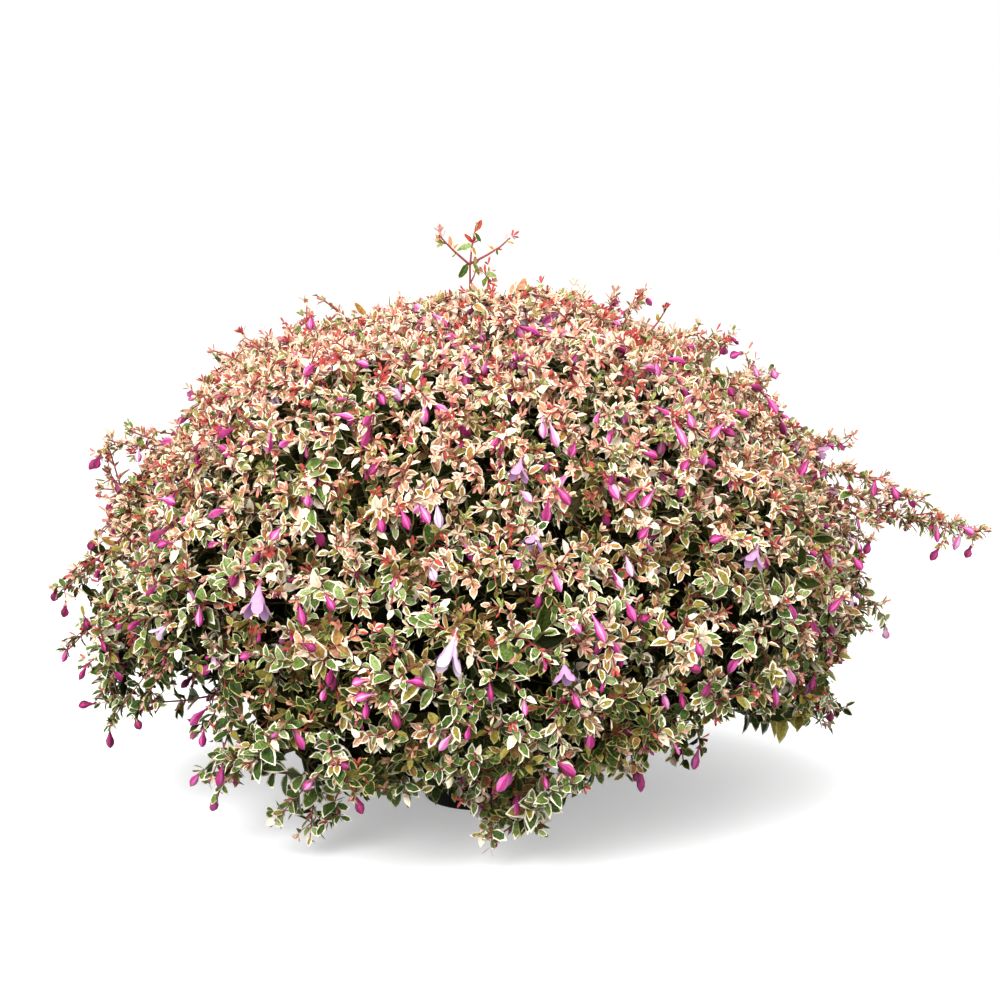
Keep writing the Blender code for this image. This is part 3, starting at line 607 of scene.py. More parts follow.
def isInside(place):
    # whether a shoot that ends at this place stays within the outline, with the leaves round its tip
    x, y = pixelOf(place)
    out = Vector((x - growth["outlineMiddle"][0], y - growth["outlineMiddle"][1]))
    x, y = Vector((x, y)) + out.normalized() * growth["tipLeaves"] * (2 - heightOf(place))
    crossings = 0
    for (x1, y1), (x2, y2) in zip(outline, outline[1:] + outline[:1]):
        if (y1 > y) != (y2 > y) and x < x1 + (x2 - x1) * (y - y1) / (y2 - y1):
            crossings += 1
    return crossings % 2 == 1


def siteOf(mass, number, spread, inset):
    u, v = (2 * ((number + 1) * step % 1) - 1 for step in growth["siteSteps"])
    side = mass.direction.cross(up).normalized()
    over = side.cross(mass.direction)
    way = (mass.direction + spread * (side * u + over * v)).normalized()
    return crown["centre"] + way * (mass.surface(way) - inset)


class Shoot:
    # a twig: its points, its kind, the mass that it grows in and the flower that it ends in
    def __init__(self, points, kind, mass, flower=None):
        self.points = points
        self.kind = kind
        self.mass = mass
        self.flower = flower


class Growth:
    # the shoots of one mass, and the places on them that later shoots start from
    def __init__(self, mass, stem):
        self.mass = mass
        self.shoots = [Shoot(stem, "stem", mass)]
        self.places = np.empty((growth["room"], 3))
        self.headings = []
        self.keep(stem)

    def keep(self, line):
        for a, b in zip(line[1:], line[2:]):
            self.places[len(self.headings)] = a
            self.headings.append((b - a).normalized())

    def add(self, end, kind, floor, flower=None, aim=None):
        if not isFree(end, self.mass, floor):
            return False
        aim = np.array(aim or end)
        i = int(np.argmin(np.sum((self.places[:len(self.headings)] - aim) ** 2, axis=1)))
        start, heading = Vector(self.places[i]), self.headings[i]
        if (end - start).length < growth["shortestStalk" if kind == "stalk" else "shortest"]:
            return False
        bend = start + heading * (end - start).length * growth["bend"]
        count = growth["twigPoints"]
        line = []
        for k in range(count):
            t = k / (count - 1)
            line.append(start.lerp(bend, t).lerp(bend.lerp(end, t), t))
        if not all(isFree(point, self.mass, floor) for point in line[1:]):
            return False
        self.shoots.append(Shoot(line, kind, self.mass, flower))
        self.keep(line)
        return True

    def addStray(self, end, floor, root=None):
        # a loose shoot from well inside, and from above where it hangs, with sprigs along it where it is long
        rise = up * growth["sprayRise"] * (1 - heightOf(end))
        aim = root or end.lerp(crown["centre"], growth["sprayPull"]) + rise
        if not self.add(end, "stray", floor, aim=aim):
            return
        line = self.shoots[-1].points
        if sum(stepsOf(line)) < sprigs["least"]:
            return
        for k, share in enumerate(sprigs["shares"]):
            place, along = pointAt(line, share)
            side = sideOf(along, k + 1) * (1 if k % 2 else -1)
            way = side * sprigs["aside"] + along * sprigs["forward"] + up * sprigs["lift"]
            self.add(place + way.normalized() * sprigs["length"], "sprig", floor)


def growMass(mass, rng):
    points = limbPlan[mass.name][1]
    arrival = pointAt(points, 1)[1]
    start = points[-1] + arrival * gap
    if mass.tier == "leader":
        lines = [[placeAt(*spot) for spot in line] for line in leaderShoots]
        lines[0].insert(0, start)
        return [Shoot(line, "stray", mass) for line in lines]
    tip = sunk(crown["centre"] + mass.direction * (mass.surface(mass.direction) - growth["inset"]))
    while not isInside(tip):
        tip = tip.lerp(crown["centre"], growth["drawIn"])
    stem = curvePoints(start, arrival, tip, mass.direction, growth["stemPoints"], limbs["stemPull"])
    grown = Growth(mass, stem)
    ground = crown["groundClearance"]
    for end in mass.strays:
        floor = max(ground, lowestAt(end) - growth["strayDrop"])
        grown.addStray(end - (end - start).normalized() * growth["straySet"], floor)
    twigs = 0
    for number in range(growth["sites"]):
        if twigs < growth["sourceTwigs"]:
            end = sunk(siteOf(mass, number, growth["siteSpread"], growth["inset"]))
            floor = max(mass.underside, lowestAt(end) - growth["twigDrop"])
            twigs += isInside(end) and grown.add(end, "twig", floor)
    for kind, layer in layers.items():
        near, far = layer["depths"]
        for _ in range(round(layer["tries"] * density[mass.tier])):
            number += 1
            end = siteOf(mass, number, growth["fineSpread"], near + (far - near) * rng.random())
            wave = 2 * noise.noise(end * growth["patches"]) - growth["raggedIn"]
            end = sunk(end) + (end - crown["centre"]).normalized() * growth["ragged"] * wave
            if rng.random() >= thinning(end) and isInside(end):
                grown.add(end, kind, lowestAt(end))
    for end, root in mass.sprays:
        grown.addStray(end - (end - crown["centre"]).normalized() * growth["spraySet"], ground, root)
    # a flower that hangs close to a grown shoot has a bare short stalk instead of a shoot of its own
    close = [bloom for bloom in mass.blooms if not grown.add(bloom[0], "bloom", ground, flower=bloom)]
    for bloom in close:
        grown.add(bloom[0], "stalk", ground, flower=bloom)
    return grown.shoots


def lowestAt(place):
    # how low the shoots reach, as measured all round in the photograph
    lowest = np.interp(math.degrees(math.atan2(place.y, place.x)), lowestTips["azimuth"], lowestTips["height"])
    return lowest + growth["lowestPlay"] * 2 * noise.noise(place * growth["patches"] + up)


def thinning(place):
    # the chance that a shoot is left out, so that sky shows
    chances = (part["share"] * ramp(-place.x, *part["left"]) * ramp(place.z, *part["low"]) for part in openings)
    return max(chances)


def sideOf(heading, quarter):
    # across a shoot, level or a quarter turn from level
    flat = heading.cross(up)
    if flat.length < growth["upright"]:
        flat = heading.cross(Vector((0, 1, 0)))
    flat.normalize()
    return flat if quarter % 2 == 0 else flat.cross(heading)


shoots = []
for number, mass in enumerate(masses):
    shoots += growMass(mass, random.Random(growth["seed"] + number))
print("grew", {kind: sum(shoot.kind == kind for shoot in shoots) for kind in sorted({s.kind for s in shoots})})


# Joined meshes from arrays

def makePiece(name, verts, faces, material, smooth=False):
    mesh = bpy.data.meshes.new(name)
    mesh.vertices.add(len(verts))
    mesh.vertices.foreach_set("co", np.asarray(verts, dtype=np.float32).ravel())
    size = faces.shape[1]
    mesh.loops.add(faces.size)
    mesh.loops.foreach_set("vertex_index", faces.ravel().astype(np.int32))
    mesh.polygons.add(len(faces))
    mesh.polygons.foreach_set("loop_start", np.arange(0, faces.size, size, dtype=np.int32))
    mesh.polygons.foreach_set("use_smooth", np.full(len(faces), smooth))
    mesh.update(calc_edges=True)
    mesh.materials.append(material)
    made = bpy.data.objects.new(name, mesh)
    bpy.context.scene.collection.objects.link(made)
    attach(made, "root")
    return made


def unit(rows):
    return rows / np.maximum(np.linalg.norm(rows, axis=-1, keepdims=True), 1e-9)


def framesOf(headings, faces):
    headings = unit(headings)
    across = unit(np.cross(faces, headings))
    return headings, across, np.cross(headings, across)


def manyOf(pattern, triangles, feet, headings, faces):
    # pattern: one row of (along, across, up) for each copy and corner
    axes = framesOf(headings, faces)
    places = feet[:, None, :] + sum(pattern[:, :, i, None] * axes[i][:, None, :] for i in range(3))
    count, corners = pattern.shape[:2]
    rows = (np.arange(count) * corners)[:, None, None] + triangles[None]
    return places.reshape(-1, 3), rows.reshape(-1, 3)


# Leaves: an ovate blade folded along its midrib, inside an uneven pale margin

leafShapes = {
    "broad": dict(sides=((0.18, 0.74), (0.44, 1.0), (0.74, 0.62)), bladeEnd=0.88, middle=0.50),
    "short": dict(sides=((0.28, 0.90), (0.66, 0.76)), bladeEnd=0.84, middle=0.45),
}
leafShape = dict(uneven=0.28, widestBlade=0.93, slip=0.03, shorten=0.25)


def leafPattern(shape):
    # corners as (along, half-widths across, how much of the way to the edge), and triangles
    sides = shape["sides"]
    corners = [(0.0, 0.0), (shape["middle"], 0.0), (shape["bladeEnd"], 0.0), (1.0, 0.0)]
    blade, margin = [], []
    inner, outer = {}, {}
    for sign in (1, -1):
        for ring in (inner, outer):
            for k, (along, width) in enumerate(sides):
                ring[sign, k] = len(corners)
                corners.append((along, sign * width))
    isInner = np.zeros(len(corners), bool)
    isInner[list(inner.values())] = True
    for sign in (1, -1):
        chain = [0] + [inner[sign, k] for k in range(len(sides))] + [2]
        edge = [0] + [outer[sign, k] for k in range(len(sides))] + [3]
        for a, b in zip(chain, chain[1:]):
            blade.append((a, 1, b) if sign > 0 else (b, 1, a))
        for k in range(len(chain) - 1):
            quad = [chain[k], chain[k + 1], edge[k + 1], edge[k]]
            if sign < 0:
                quad.reverse()
            for face in ((quad[0], quad[1], quad[2]), (quad[0], quad[2], quad[3])):
                if len(set(face)) == 3:
                    margin.append(face)
    return np.array(corners), isInner, np.array(blade), np.array(margin)


def leafRows(leaves, shape, rng):
    # leaves: rows of foot, heading, face, length, width, curl, fold, blade share
    corners, isInner, blade, margin = leafPattern(leafShapes[shape])
    data = np.array(leaves)
    count = len(data)
    length, width, curl, fold, share = (data[:, 9 + i, None] for i in range(5))
    t = np.broadcast_to(corners[:, 0], (count, len(corners))).copy()
    s = np.broadcast_to(corners[:, 1], (count, len(corners))).copy()
    uneven = 1 + rng.uniform(-leafShape["uneven"], leafShape["uneven"], s.shape)
    s = np.where(isInner, s * np.minimum(share * uneven, leafShape["widestBlade"]), s)
    slip = rng.uniform(-leafShape["slip"], leafShape["slip"], t.shape)
    t = np.where((corners[:, 0] < 1) & (corners[:, 0] > 0), t + slip, t)
    half = width / 2
    z = np.abs(s) * half * np.sin(fold) - curl * length * t**2
    forward = length * (t - leafShape["shorten"] * np.abs(curl) * t**2)
    pattern = np.stack([forward, s * half * np.cos(fold), z], axis=-1)
    return pattern, blade, margin, data[:, 0:3], data[:, 3:6], data[:, 6:9]


bladeColours = {
    "deep_green": ((0.072, 0.128, 0.028), (0.020, 0.050, 0.007)),
    "mid_green": ((0.200, 0.275, 0.070), (0.062, 0.125, 0.014)),
    "grey_green": ((0.330, 0.400, 0.170), (0.150, 0.220, 0.052)),
    "olive": ((0.320, 0.265, 0.052), (0.180, 0.140, 0.020)),
    "tan": ((0.460, 0.262, 0.078), (0.260, 0.132, 0.028)),
    "peach": ((0.690, 0.350, 0.205), (0.430, 0.168, 0.086)),
    "rose": ((0.460, 0.078, 0.064), (0.290, 0.040, 0.032)),
    "cream": ((0.950, 0.840, 0.690), (0.740, 0.590, 0.370)),
    # painted shade: darker blade colours for the leaves of shaded shoots
    "shade_green": ((0.034, 0.058, 0.008), (0.010, 0.020, 0.002)),
    "shade_olive": ((0.105, 0.085, 0.014), (0.045, 0.034, 0.004)),
    "shade_tan": ((0.190, 0.105, 0.034), (0.085, 0.042, 0.010)),
}
# Painted shade: the darker colour that a blade takes where its shoot stands in the shade of others
shadedKinds = dict(deep_green="shade_green", mid_green="shade_green", grey_green="deep_green", olive="shade_olive")
shadedKinds.update(tan="shade_tan", peach="shade_tan", rose="shade_tan", cream="olive")
marginColours = {
    "cream": ((0.950, 0.870, 0.750), (0.780, 0.680, 0.460)),
    "blush": ((0.900, 0.680, 0.530), (0.640, 0.380, 0.240)),
    # painted shade: the dim margins of shaded shoots, and the deep ones, darker still, mostly low down
    "shaded": ((0.500, 0.440, 0.190), (0.280, 0.240, 0.066)),
    "deep": ((0.220, 0.200, 0.062), (0.110, 0.100, 0.022)),
}
leafFinish = dict(mottle=420.0, mottleDetail=3.0, veins=1500.0, relief=0.00025, roughness=0.42, roughPlay=0.22)
leafFinish.update(gloss=0.12, patchContrast=3.0, patchMiddle=0.5)


def leafMaterial(name, light, dark, gloss=leafFinish["gloss"]):
    paint = Paint(name)
    mottle = paint.cloud(leafFinish["mottle"], leafFinish["mottleDetail"])
    veins = paint.cloud(leafFinish["veins"])
    patches = (mottle - leafFinish["patchMiddle"]) * leafFinish["patchContrast"] + 0.5
    colour = paint.blend(patches, dark, light)
    rough = leafFinish["roughness"] + mottle * leafFinish["roughPlay"]
    return paint.finish(colour, rough, veins, leafFinish["relief"], Specular_IOR_Level=gloss)


leafPlan = dict(lowLength=0.0265, topLength=0.0205, tipShare=0.50, maturing=0.055, spacing=0.0125)
leafPlan.update(slender=0.60, widthPlay=(0.85, 1.15), sizePlay=(0.74, 1.20), broadFrom=0.0190, looseSize=(1.02, 0.14))
leafPlan.update(splay=62, splayPlay=16, youngSplay=20, headingPlay=0.28, sag=0.18, curls=(0.02, 0.30), folds=(6, 30))
leafPlan.update(outward=0.65, upward=0.60, alongFace=0.25, facePlay=0.50, edgeOn=0.2)
leafPlan.update(first=0.002, leafyShare=0.96, leafyStem=0.085, spacingAge=(0.62, 0.5), spacingPlay=(0.85, 1.15))
leafPlan.update(looser=1.3, most=180000, seed=71, shapeSeed=5)
# How much of its width a blade's coloured middle takes, and how many margins are blushed or deeply shaded
marginPlan = dict(green=(0.68, 0.90), other=(0.50, 0.76), shaded=(0.76, 0.92))
marginPlan.update(blushFrom=0.75, blushShare=0.30, deep=0.35)
# How far towards tan and pink a spray has turned, by height, in patches, and less low down at the sides
blushPlan = dict(least=0.20, rise=0.42, low=0.12, span=0.30, patch=0.18, patchRise=0.12, patchScale=9.0)
blushPlan.update(side=(0.22, 0.12), sideLow=(0.28, -0.08), leftAside=0.28, rightAside=0.14, beige=0.10, beigeSpan=0.15)
blushPlan.update(shootPlay=0.15, leafPlay=0.10, middle=0.12, young=0.18)
# Up to which blush a blade takes each colour, and how many are cream throughout
blushLimits = dict(deep_green=0.19, mid_green=0.41, grey_green=0.50, olive=0.60, tan=0.78, peach=1.06)
creamShare = (0.08, 0.14)
# How many shoots stand in shade: at the ground, and how fast that falls with height
shadePlan = dict(middle=(0.88, 0.54), fine=(0.62, 0.66), fineLow=(0.42, 2), wave=(0.9, 0.5), other=0.18, patches=26.0)
# Where the photograph is dimmer or brighter than its height tells, and so more or fewer shoots take the painted shade
# colours: place, how far round it, and how much
shadeSpots = [
    ((-0.15, -0.30, 0.19), 0.10, 0.56), ((0.18, -0.28, 0.22), 0.10, -0.12), ((-0.16, -0.26, 0.43), 0.11, -0.15),
    ((0.0, -0.32, 0.18), 0.09, -0.08), ((0.33, -0.12, 0.20), 0.08, 0.30), ((-0.17, -0.08, 0.49), 0.09, 0.25),
]


def randomVector(rng, size):
    return Vector([rng.uniform(-size, size) for _ in range(3)])


def blushAt(place):
    height = ramp(place.z, blushPlan["low"], blushPlan["span"])
    patch = noise.noise(place * blushPlan["patchScale"])
    aside = ramp(abs(place.x), *blushPlan["side"]) * ramp(place.z, *blushPlan["sideLow"])
    aside *= blushPlan["leftAside"] if place.x < 0 else blushPlan["rightAside"]
    beige = blushPlan["beige"] * height * ramp(place.x, 0, blushPlan["beigeSpan"])
    patches = (blushPlan["patch"] + blushPlan["patchRise"] * height) * patch
    return blushPlan["least"] + blushPlan["rise"] * height + patches - aside - beige


def isShaded(shoot, height, rng):
    # whether a shoot stands in the shade of those over it, as more do low down
    tip = shoot.points[-1]
    wave = noise.noise(tip * shadePlan["patches"])
    wave += sum(more * math.exp(-((tip - Vector(spot)).length / width) ** 2) for spot, width, more in shadeSpots)
    middle, fine, low, waves = (shadePlan[key] for key in ("middle", "fine", "fineLow", "wave"))
    if shoot.kind == "middle":
        chance = middle[0] - middle[1] * height
    elif shoot.kind == "fine":
        chance = min(fine[0] - fine[1] * height, low[0] + low[1] * height) + (waves[0] - waves[1] * height) * wave
    else:
        chance = shadePlan["other"] * (1 - height)
    return rng.random() < chance


def leafKind(blush, height, rng):
    if rng.random() < creamShare[0] + creamShare[1] * height:
        return "cream"
    for kind, limit in blushLimits.items():
        if blush < limit:
            return kind
    return "rose"


leavesOf = {}


def addLeaf(rowsOf, key, foot, heading, face, length, width, curl, fold, share=1.0):
    rowsOf.setdefault(key, []).append((*foot, *heading, *face, length, width, curl, fold, share))


def dressShoot(shoot, rng):
    # opposite pairs from the tip back, each a quarter turn from the next
    points = shoot.points
    steps = stepsOf(points)
    total = sum(steps)
    tip = points[-1]
    height = heightOf(tip)
    tint = blushAt(tip) + rng.gauss(0, blushPlan["shootPlay"])
    tint -= blushPlan["middle"] if shoot.kind == "middle" else 0
    full = leafPlan["lowLength"] + (leafPlan["topLength"] - leafPlan["lowLength"]) * height
    loose = shoot.kind in ("stray", "sprig")
    full *= leafPlan["looseSize"][0] - leafPlan["looseSize"][1] * height if loose else 1
    outward = (tip - crown["centre"]).normalized()
    facing = outward * leafPlan["outward"] + up * leafPlan["upward"]
    shaded = isShaded(shoot, height, rng)
    back = leafPlan["first"]
    quarter = rng.randrange(2)
    leafy = total * leafPlan["leafyShare"] if shoot.kind != "stem" else min(total, leafPlan["leafyStem"])
    while back < leafy:
        place, along = placeBack(points, steps, back)
        age = min(back / leafPlan["maturing"], 1)
        for sign in (1, -1):
            grown = leafPlan["tipShare"] + (1 - leafPlan["tipShare"]) * age
            size = full * grown * rng.uniform(*leafPlan["sizePlay"])
            turn = rng.uniform(-leafPlan["splayPlay"], leafPlan["splayPlay"]) - leafPlan["youngSplay"] * (1 - age)
            splay = math.radians(leafPlan["splay"] + turn)
            side = sideOf(along, quarter) * sign
            heading = along * math.cos(splay) + side * math.sin(splay) + randomVector(rng, leafPlan["headingPlay"])
            heading.z -= leafPlan["sag"] * age
            heading.normalize()
            face = along * leafPlan["alongFace"] + facing + randomVector(rng, leafPlan["facePlay"])
            if face.cross(heading).length < leafPlan["edgeOn"]:
                face = sideOf(heading, 1)
            blush = tint + blushPlan["young"] * (1 - age) + rng.gauss(0, blushPlan["leafPlay"])
            kind = leafKind(blush, height, rng)
            isBlushed = blush > marginPlan["blushFrom"] and rng.random() < marginPlan["blushShare"]
            margin = "blush" if isBlushed else "cream"
            # painted shade: the leaves of a shaded shoot take the darker blade and margin colours
            if shaded:
                kind = shadedKinds[kind]
                margin = "deep" if rng.random() > marginPlan["deep"] + height else "shaded"
            shape = "broad" if size > leafPlan["broadFrom"] else "short"
            width = size * leafPlan["slender"] * rng.uniform(*leafPlan["widthPlay"])
            share = rng.uniform(*marginPlan["shaded" if shaded else lookOf(kind)])
            curl, fold = rng.uniform(*leafPlan["curls"]), math.radians(rng.uniform(*leafPlan["folds"]))
            addLeaf(leavesOf, (kind, margin, shape), place, heading, face, size, width, curl, fold, share)
        quarter += 1
        apart = leafPlan["looser"] if loose or shoot.kind == "middle" else 1
        spacing = leafPlan["spacing"] * (leafPlan["spacingAge"][0] + leafPlan["spacingAge"][1] * age)
        back += spacing * rng.uniform(*leafPlan["spacingPlay"]) * apart


def lookOf(kind):
    return "green" if kind.endswith("green") else "other"


def placeBack(points, steps, back):
    i = len(steps) - 1
    while i > 0 and back > steps[i]:
        back -= steps[i]
        i -= 1
    share = min(back / steps[i], 1)
    return points[i + 1].lerp(points[i], share), (points[i + 1] - points[i]).normalized()


leaderPlan = dict(spots=40, setBack=(-0.005, 0.003), facing=Vector((0.2, -0.9, 0.5)), facePlay=0.3)
leaderPlan.update(slender=0.50, widthPlay=(0.9, 1.1), curl=0.10, fold=0.3)


def dressLeader(lines, rng):
    # each leaf from the nearest place on the leader's shoots to its own tip
    count = leaderPlan["spots"]
    spots = [pointAt(line, i / count)[0] for line in lines for i in range(count + 1)]
    for x, y, tipX, tipY, kind in leaderLeaves:
        wanted = placeAt(x, y, 0)
        foot = min(spots, key=lambda spot: (spot - wanted).length)
        way = placeAt(tipX, tipY, foot.y + rng.uniform(*leaderPlan["setBack"])) - foot
        size = way.length
        face = leaderPlan["facing"] + randomVector(rng, leaderPlan["facePlay"])
        share = rng.uniform(*marginPlan[lookOf(kind)])
        width = size * leaderPlan["slender"] * rng.uniform(*leaderPlan["widthPlay"])
        look = (leaderPlan["curl"], leaderPlan["fold"], share)
        addLeaf(leavesOf, (kind, "cream", "broad"), foot, way.normalized(), face, size, width, *look)


leafRng = random.Random(leafPlan["seed"])
for shoot in shoots:
    if shoot.kind not in ("inner", "stalk") and shoot.mass.tier != "leader":
        dressShoot(shoot, leafRng)
dressLeader([shoot.points for shoot in shoots if shoot.mass.tier == "leader"], leafRng)


def makeBlades(rowsOf, label, colours):
    # one piece for each colour of blade, and others for the margins
    rng = np.random.default_rng(leafPlan["shapeSeed"])
    bladeMeshes, marginMeshes = {}, {}
    for (kind, margin, shape), rows in rowsOf.items():
        pattern, blade, edge, feet, headings, faces = leafRows(rows, shape, rng)
        bladeMeshes.setdefault(kind, []).append(manyOf(pattern, blade, feet, headings, faces))
        marginMeshes.setdefault(margin, []).append(manyOf(pattern, edge, feet, headings, faces))
    made = []
    for kind, meshes in bladeMeshes.items():
        made += joinedPieces(f"{label}_blades_{kind}", meshes, leafMaterial(f"{label}_{kind}", *colours[kind]))
    for kind, meshes in marginMeshes.items():
        material = leafMaterial(f"{label}_margin_{kind}", *marginColours[kind])
        made += joinedPieces(f"{label}_margins_{kind}", meshes, material)
    return made


def joinedPieces(name, meshes, material, smooth=False):
    # one piece, or several where it would have too many triangles
    verts = np.concatenate([mesh[0] for mesh in meshes])
    starts = np.cumsum([0] + [len(mesh[0]) for mesh in meshes[:-1]])
    faces = np.concatenate([mesh[1] + start for mesh, start in zip(meshes, starts)])
    parts = math.ceil(len(faces) / leafPlan["most"])
    made = []
    for i, part in enumerate(np.array_split(faces, parts)):
        used, corners = np.unique(part, return_inverse=True)
        label = name if parts == 1 else f"{name}_{i + 1}"
        made.append(makePiece(label, verts[used], corners.reshape(part.shape), material, smooth))
    return made


foliage = makeBlades(leavesOf, "leaf", bladeColours)
print(f"made {sum(map(len, leavesOf.values()))} leaves")


# Shade leaves: the older leaves inside the crown, painted near-black for the shade there, darker low down than high up

plainShapes = {
    "shade": ((0, 0), (0.30, 0.9), (0.68, 0.7), (1, 0), (0.68, -0.7), (0.30, -0.9)),
    "sepal": ((0, 0), (0.42, 0.75), (0.78, 0.85), (1, 0), (0.78, -0.85), (0.42, -0.75)),
}
shadeLeaves = dict(length=0.030, slender=0.60, sizePlay=(0.75, 1.15), innerSize=1.16, curl=0.15, fold=0.3)
shadeLeaves.update(first=dict(inner=0.002, stem=0.075, twig=0.095), spacing=0.012, seed=93, low=0.30, lowPlay=0.05)
shadeLeaves.update(forward=0.5, headingPlay=0.45, outward=0.75, upward=0.5, facePlay=0.8)
shadeLeaves.update(inset=0.12, insetEnds=1.6, lift=0.0005, gloss=0.02)
# painted shade: near-black leaves with dim margins, darker in the low zone than in the high one
shadeColours = {
    "low": dict(
        leaves=((0.006, 0.009, 0.001), (0.002, 0.003, 0.001)), margins=((0.080, 0.074, 0.026), (0.034, 0.030, 0.008)),
    ),
    "high": dict(
        leaves=((0.032, 0.042, 0.008), (0.008, 0.014, 0.002)), margins=((0.250, 0.215, 0.095), (0.105, 0.090, 0.030)),
    ),
}


def plainLeaves(rows, shape, inset=0, lift=0):
    # leaves or sepals of one colour: corners round the outline, folded along the midrib
    data = np.array(rows)
    corners = np.array(plainShapes[shape], float)
    last = len(corners) - 1
    half = (last + 1) // 2
    faces = [(0, i, i + 1) for i in range(1, half)] + [(0, i, i + 1) for i in range(half, last)]
    length, width, curl, fold = (data[:, 9 + i, None] for i in range(4))
    t = inset + corners[:, 0] * (1 - shadeLeaves["insetEnds"] * inset)
    s = corners[:, 1] * (1 - 2 * inset)
    height = np.abs(s) * width / 2 * np.sin(fold) - curl * length * t**2 + lift
    pattern = np.stack([length * t + 0 * width, s * width / 2 * np.cos(fold), height], axis=-1)
    return manyOf(pattern, np.array(faces), data[:, 0:3], data[:, 3:6], data[:, 6:9])


def makeShadeLeaves():
    rng = random.Random(shadeLeaves["seed"])
    rowsOf = dict(low=[], high=[])
    for shoot in shoots:
        if shoot.kind not in shadeLeaves["first"]:
            continue
        points = shoot.points
        steps = stepsOf(points)
        back = shadeLeaves["first"][shoot.kind]
        quarter = rng.randrange(2)
        while back < sum(steps):
            place, along = placeBack(points, steps, back)
            for sign in (1, -1):
                way = sideOf(along, quarter) * sign + along * shadeLeaves["forward"]
                heading = (way + randomVector(rng, shadeLeaves["headingPlay"])).normalized()
                outward = (place - crown["centre"]).normalized()
                face = outward * shadeLeaves["outward"] + up * shadeLeaves["upward"]
                face += randomVector(rng, shadeLeaves["facePlay"])
                size = shadeLeaves["length"] * rng.uniform(*shadeLeaves["sizePlay"])
                size *= shadeLeaves["innerSize"] if shoot.kind == "inner" else 1
                # painted shade: leaves below this height take the darker colours
                limit = shadeLeaves["low"] + rng.uniform(-shadeLeaves["lowPlay"], shadeLeaves["lowPlay"])
                zone = "low" if place.z < limit else "high"
                if isInside(place + heading * size):
                    look = (size * shadeLeaves["slender"], shadeLeaves["curl"], shadeLeaves["fold"])
                    addLeaf(rowsOf, zone, place, heading, face, size, *look)
            quarter += 1
            back += shadeLeaves["spacing"]
    made = []
    for zone, rows in rowsOf.items():
        blades = plainLeaves(rows, "shade", shadeLeaves["inset"], shadeLeaves["lift"])
        for label, mesh in (("leaves", blades), ("margins", plainLeaves(rows, "shade"))):
            material = leafMaterial(f"shade_{label}_{zone}", *shadeColours[zone][label], shadeLeaves["gloss"])
            made += joinedPieces(f"shade_{label}_{zone}", [mesh], material)
    return made, sum(map(len, rowsOf.values()))


shadePieces, shadeCount = makeShadeLeaves()
foliage += shadePieces
print(f"made {shadeCount} shade leaves")


# Twigs: brown where they are old, red towards their tips

twigPlan = {
    "stem": dict(base=0.0022, tip=0.0009, sides=5),
    "twig": dict(base=0.0014, tip=0.0007, sides=4),
    "stray": dict(base=0.0013, tip=0.0008, sides=4),
    "sprig": dict(base=0.0009, tip=0.0006, sides=3),
    "bloom": dict(base=0.0008, tip=0.0006, sides=3),
    "stalk": dict(base=0.0008, tip=0.0006, sides=3),
    "inner": dict(base=0.0009, tip=0.0005, sides=3),
    "middle": dict(base=0.0009, tip=0.0005, sides=3),
    "fine": dict(base=0.0013, tip=0.0009, sides=3),
}
twigColours = {
    "brown": ("young_bark", (0.150, 0.070, 0.040), (0.060, 0.028, 0.018)),
    "red": ("red_shoot", (0.360, 0.042, 0.036), (0.170, 0.015, 0.013)),
}
twigFinish = dict(streaks=260.0, detail=4.0, roughness=0.55, roughPlay=0.25, relief=0.0006, brownBelow=0.22)


def tubeMesh(points, thickness, sides):
    verts = []
    side = sideOf((points[1] - points[0]).normalized(), 0)
    for i, point in enumerate(points):
        a, b = points[max(i - 1, 0)], points[min(i + 1, len(points) - 1)]
        along = (b - a).normalized()
        side = (side - along * side.dot(along)).normalized()
        over = along.cross(side)
        for k in range(sides):
            turn = 2 * math.pi * k / sides
            verts.append(point + (side * math.cos(turn) + over * math.sin(turn)) * thickness[i])
    return np.array(verts), np.array(ringFaces(len(points), sides))


def ringFaces(rings, sides):
    faces = []
    for i in range(rings - 1):
        for k in range(sides):
            a, b = i * sides + k, i * sides + (k + 1) % sides
            faces += [(a, b, b + sides), (a, b + sides, a + sides)]
    return faces


def twigMaterial(name, light, dark):
    paint = Paint(name)
    streak = paint.cloud(twigFinish["streaks"], twigFinish["detail"])
    rough = twigFinish["roughness"] + streak * twigFinish["roughPlay"]
    return paint.finish(paint.blend(streak, dark, light), rough, streak, twigFinish["relief"])


def makeTwigs():
    meshes = dict(brown=[], red=[])
    for shoot in shoots:
        plan = twigPlan[shoot.kind]
        line = shoot.points[::2] if shoot.kind in ("inner", "middle") else shoot.points
        count = len(line)
        thickness = [plan["base"] + (plan["tip"] - plan["base"]) * i / (count - 1) for i in range(count)]
        isOld = shoot.kind in ("stem", "twig", "inner")
        isOld = isOld or (shoot.kind == "middle" and shoot.points[-1].z < twigFinish["brownBelow"])
        meshes["brown" if isOld else "red"].append(tubeMesh(line, thickness, plan["sides"]))
    made = []
    for colour, look in twigColours.items():
        made += joinedPieces(f"twigs_{colour}", meshes[colour], twigMaterial(*look), smooth=True)
    return made


foliage += makeTwigs()
print("made the twigs")


# Flowers: calyx stars at the tips, hanging club-shaped buds, and open bells

calyxPlan = dict(length=0.0100, width=0.0038, sepals=(2, 5), spread=0.85, spreadPlay=(0.6, 1.25))
calyxPlan.update(lengthPlay=(0.75, 1.15), widthPlay=(0.8, 1.2), curl=-0.12, fold=0.4, onBud=0.72)
calyxPlan.update(upper=2.0, lower=0.6, reach=0.022, leader=2.0, along=0.8, outward=0.6, play=0.75, lift=(0.001, 0.006))
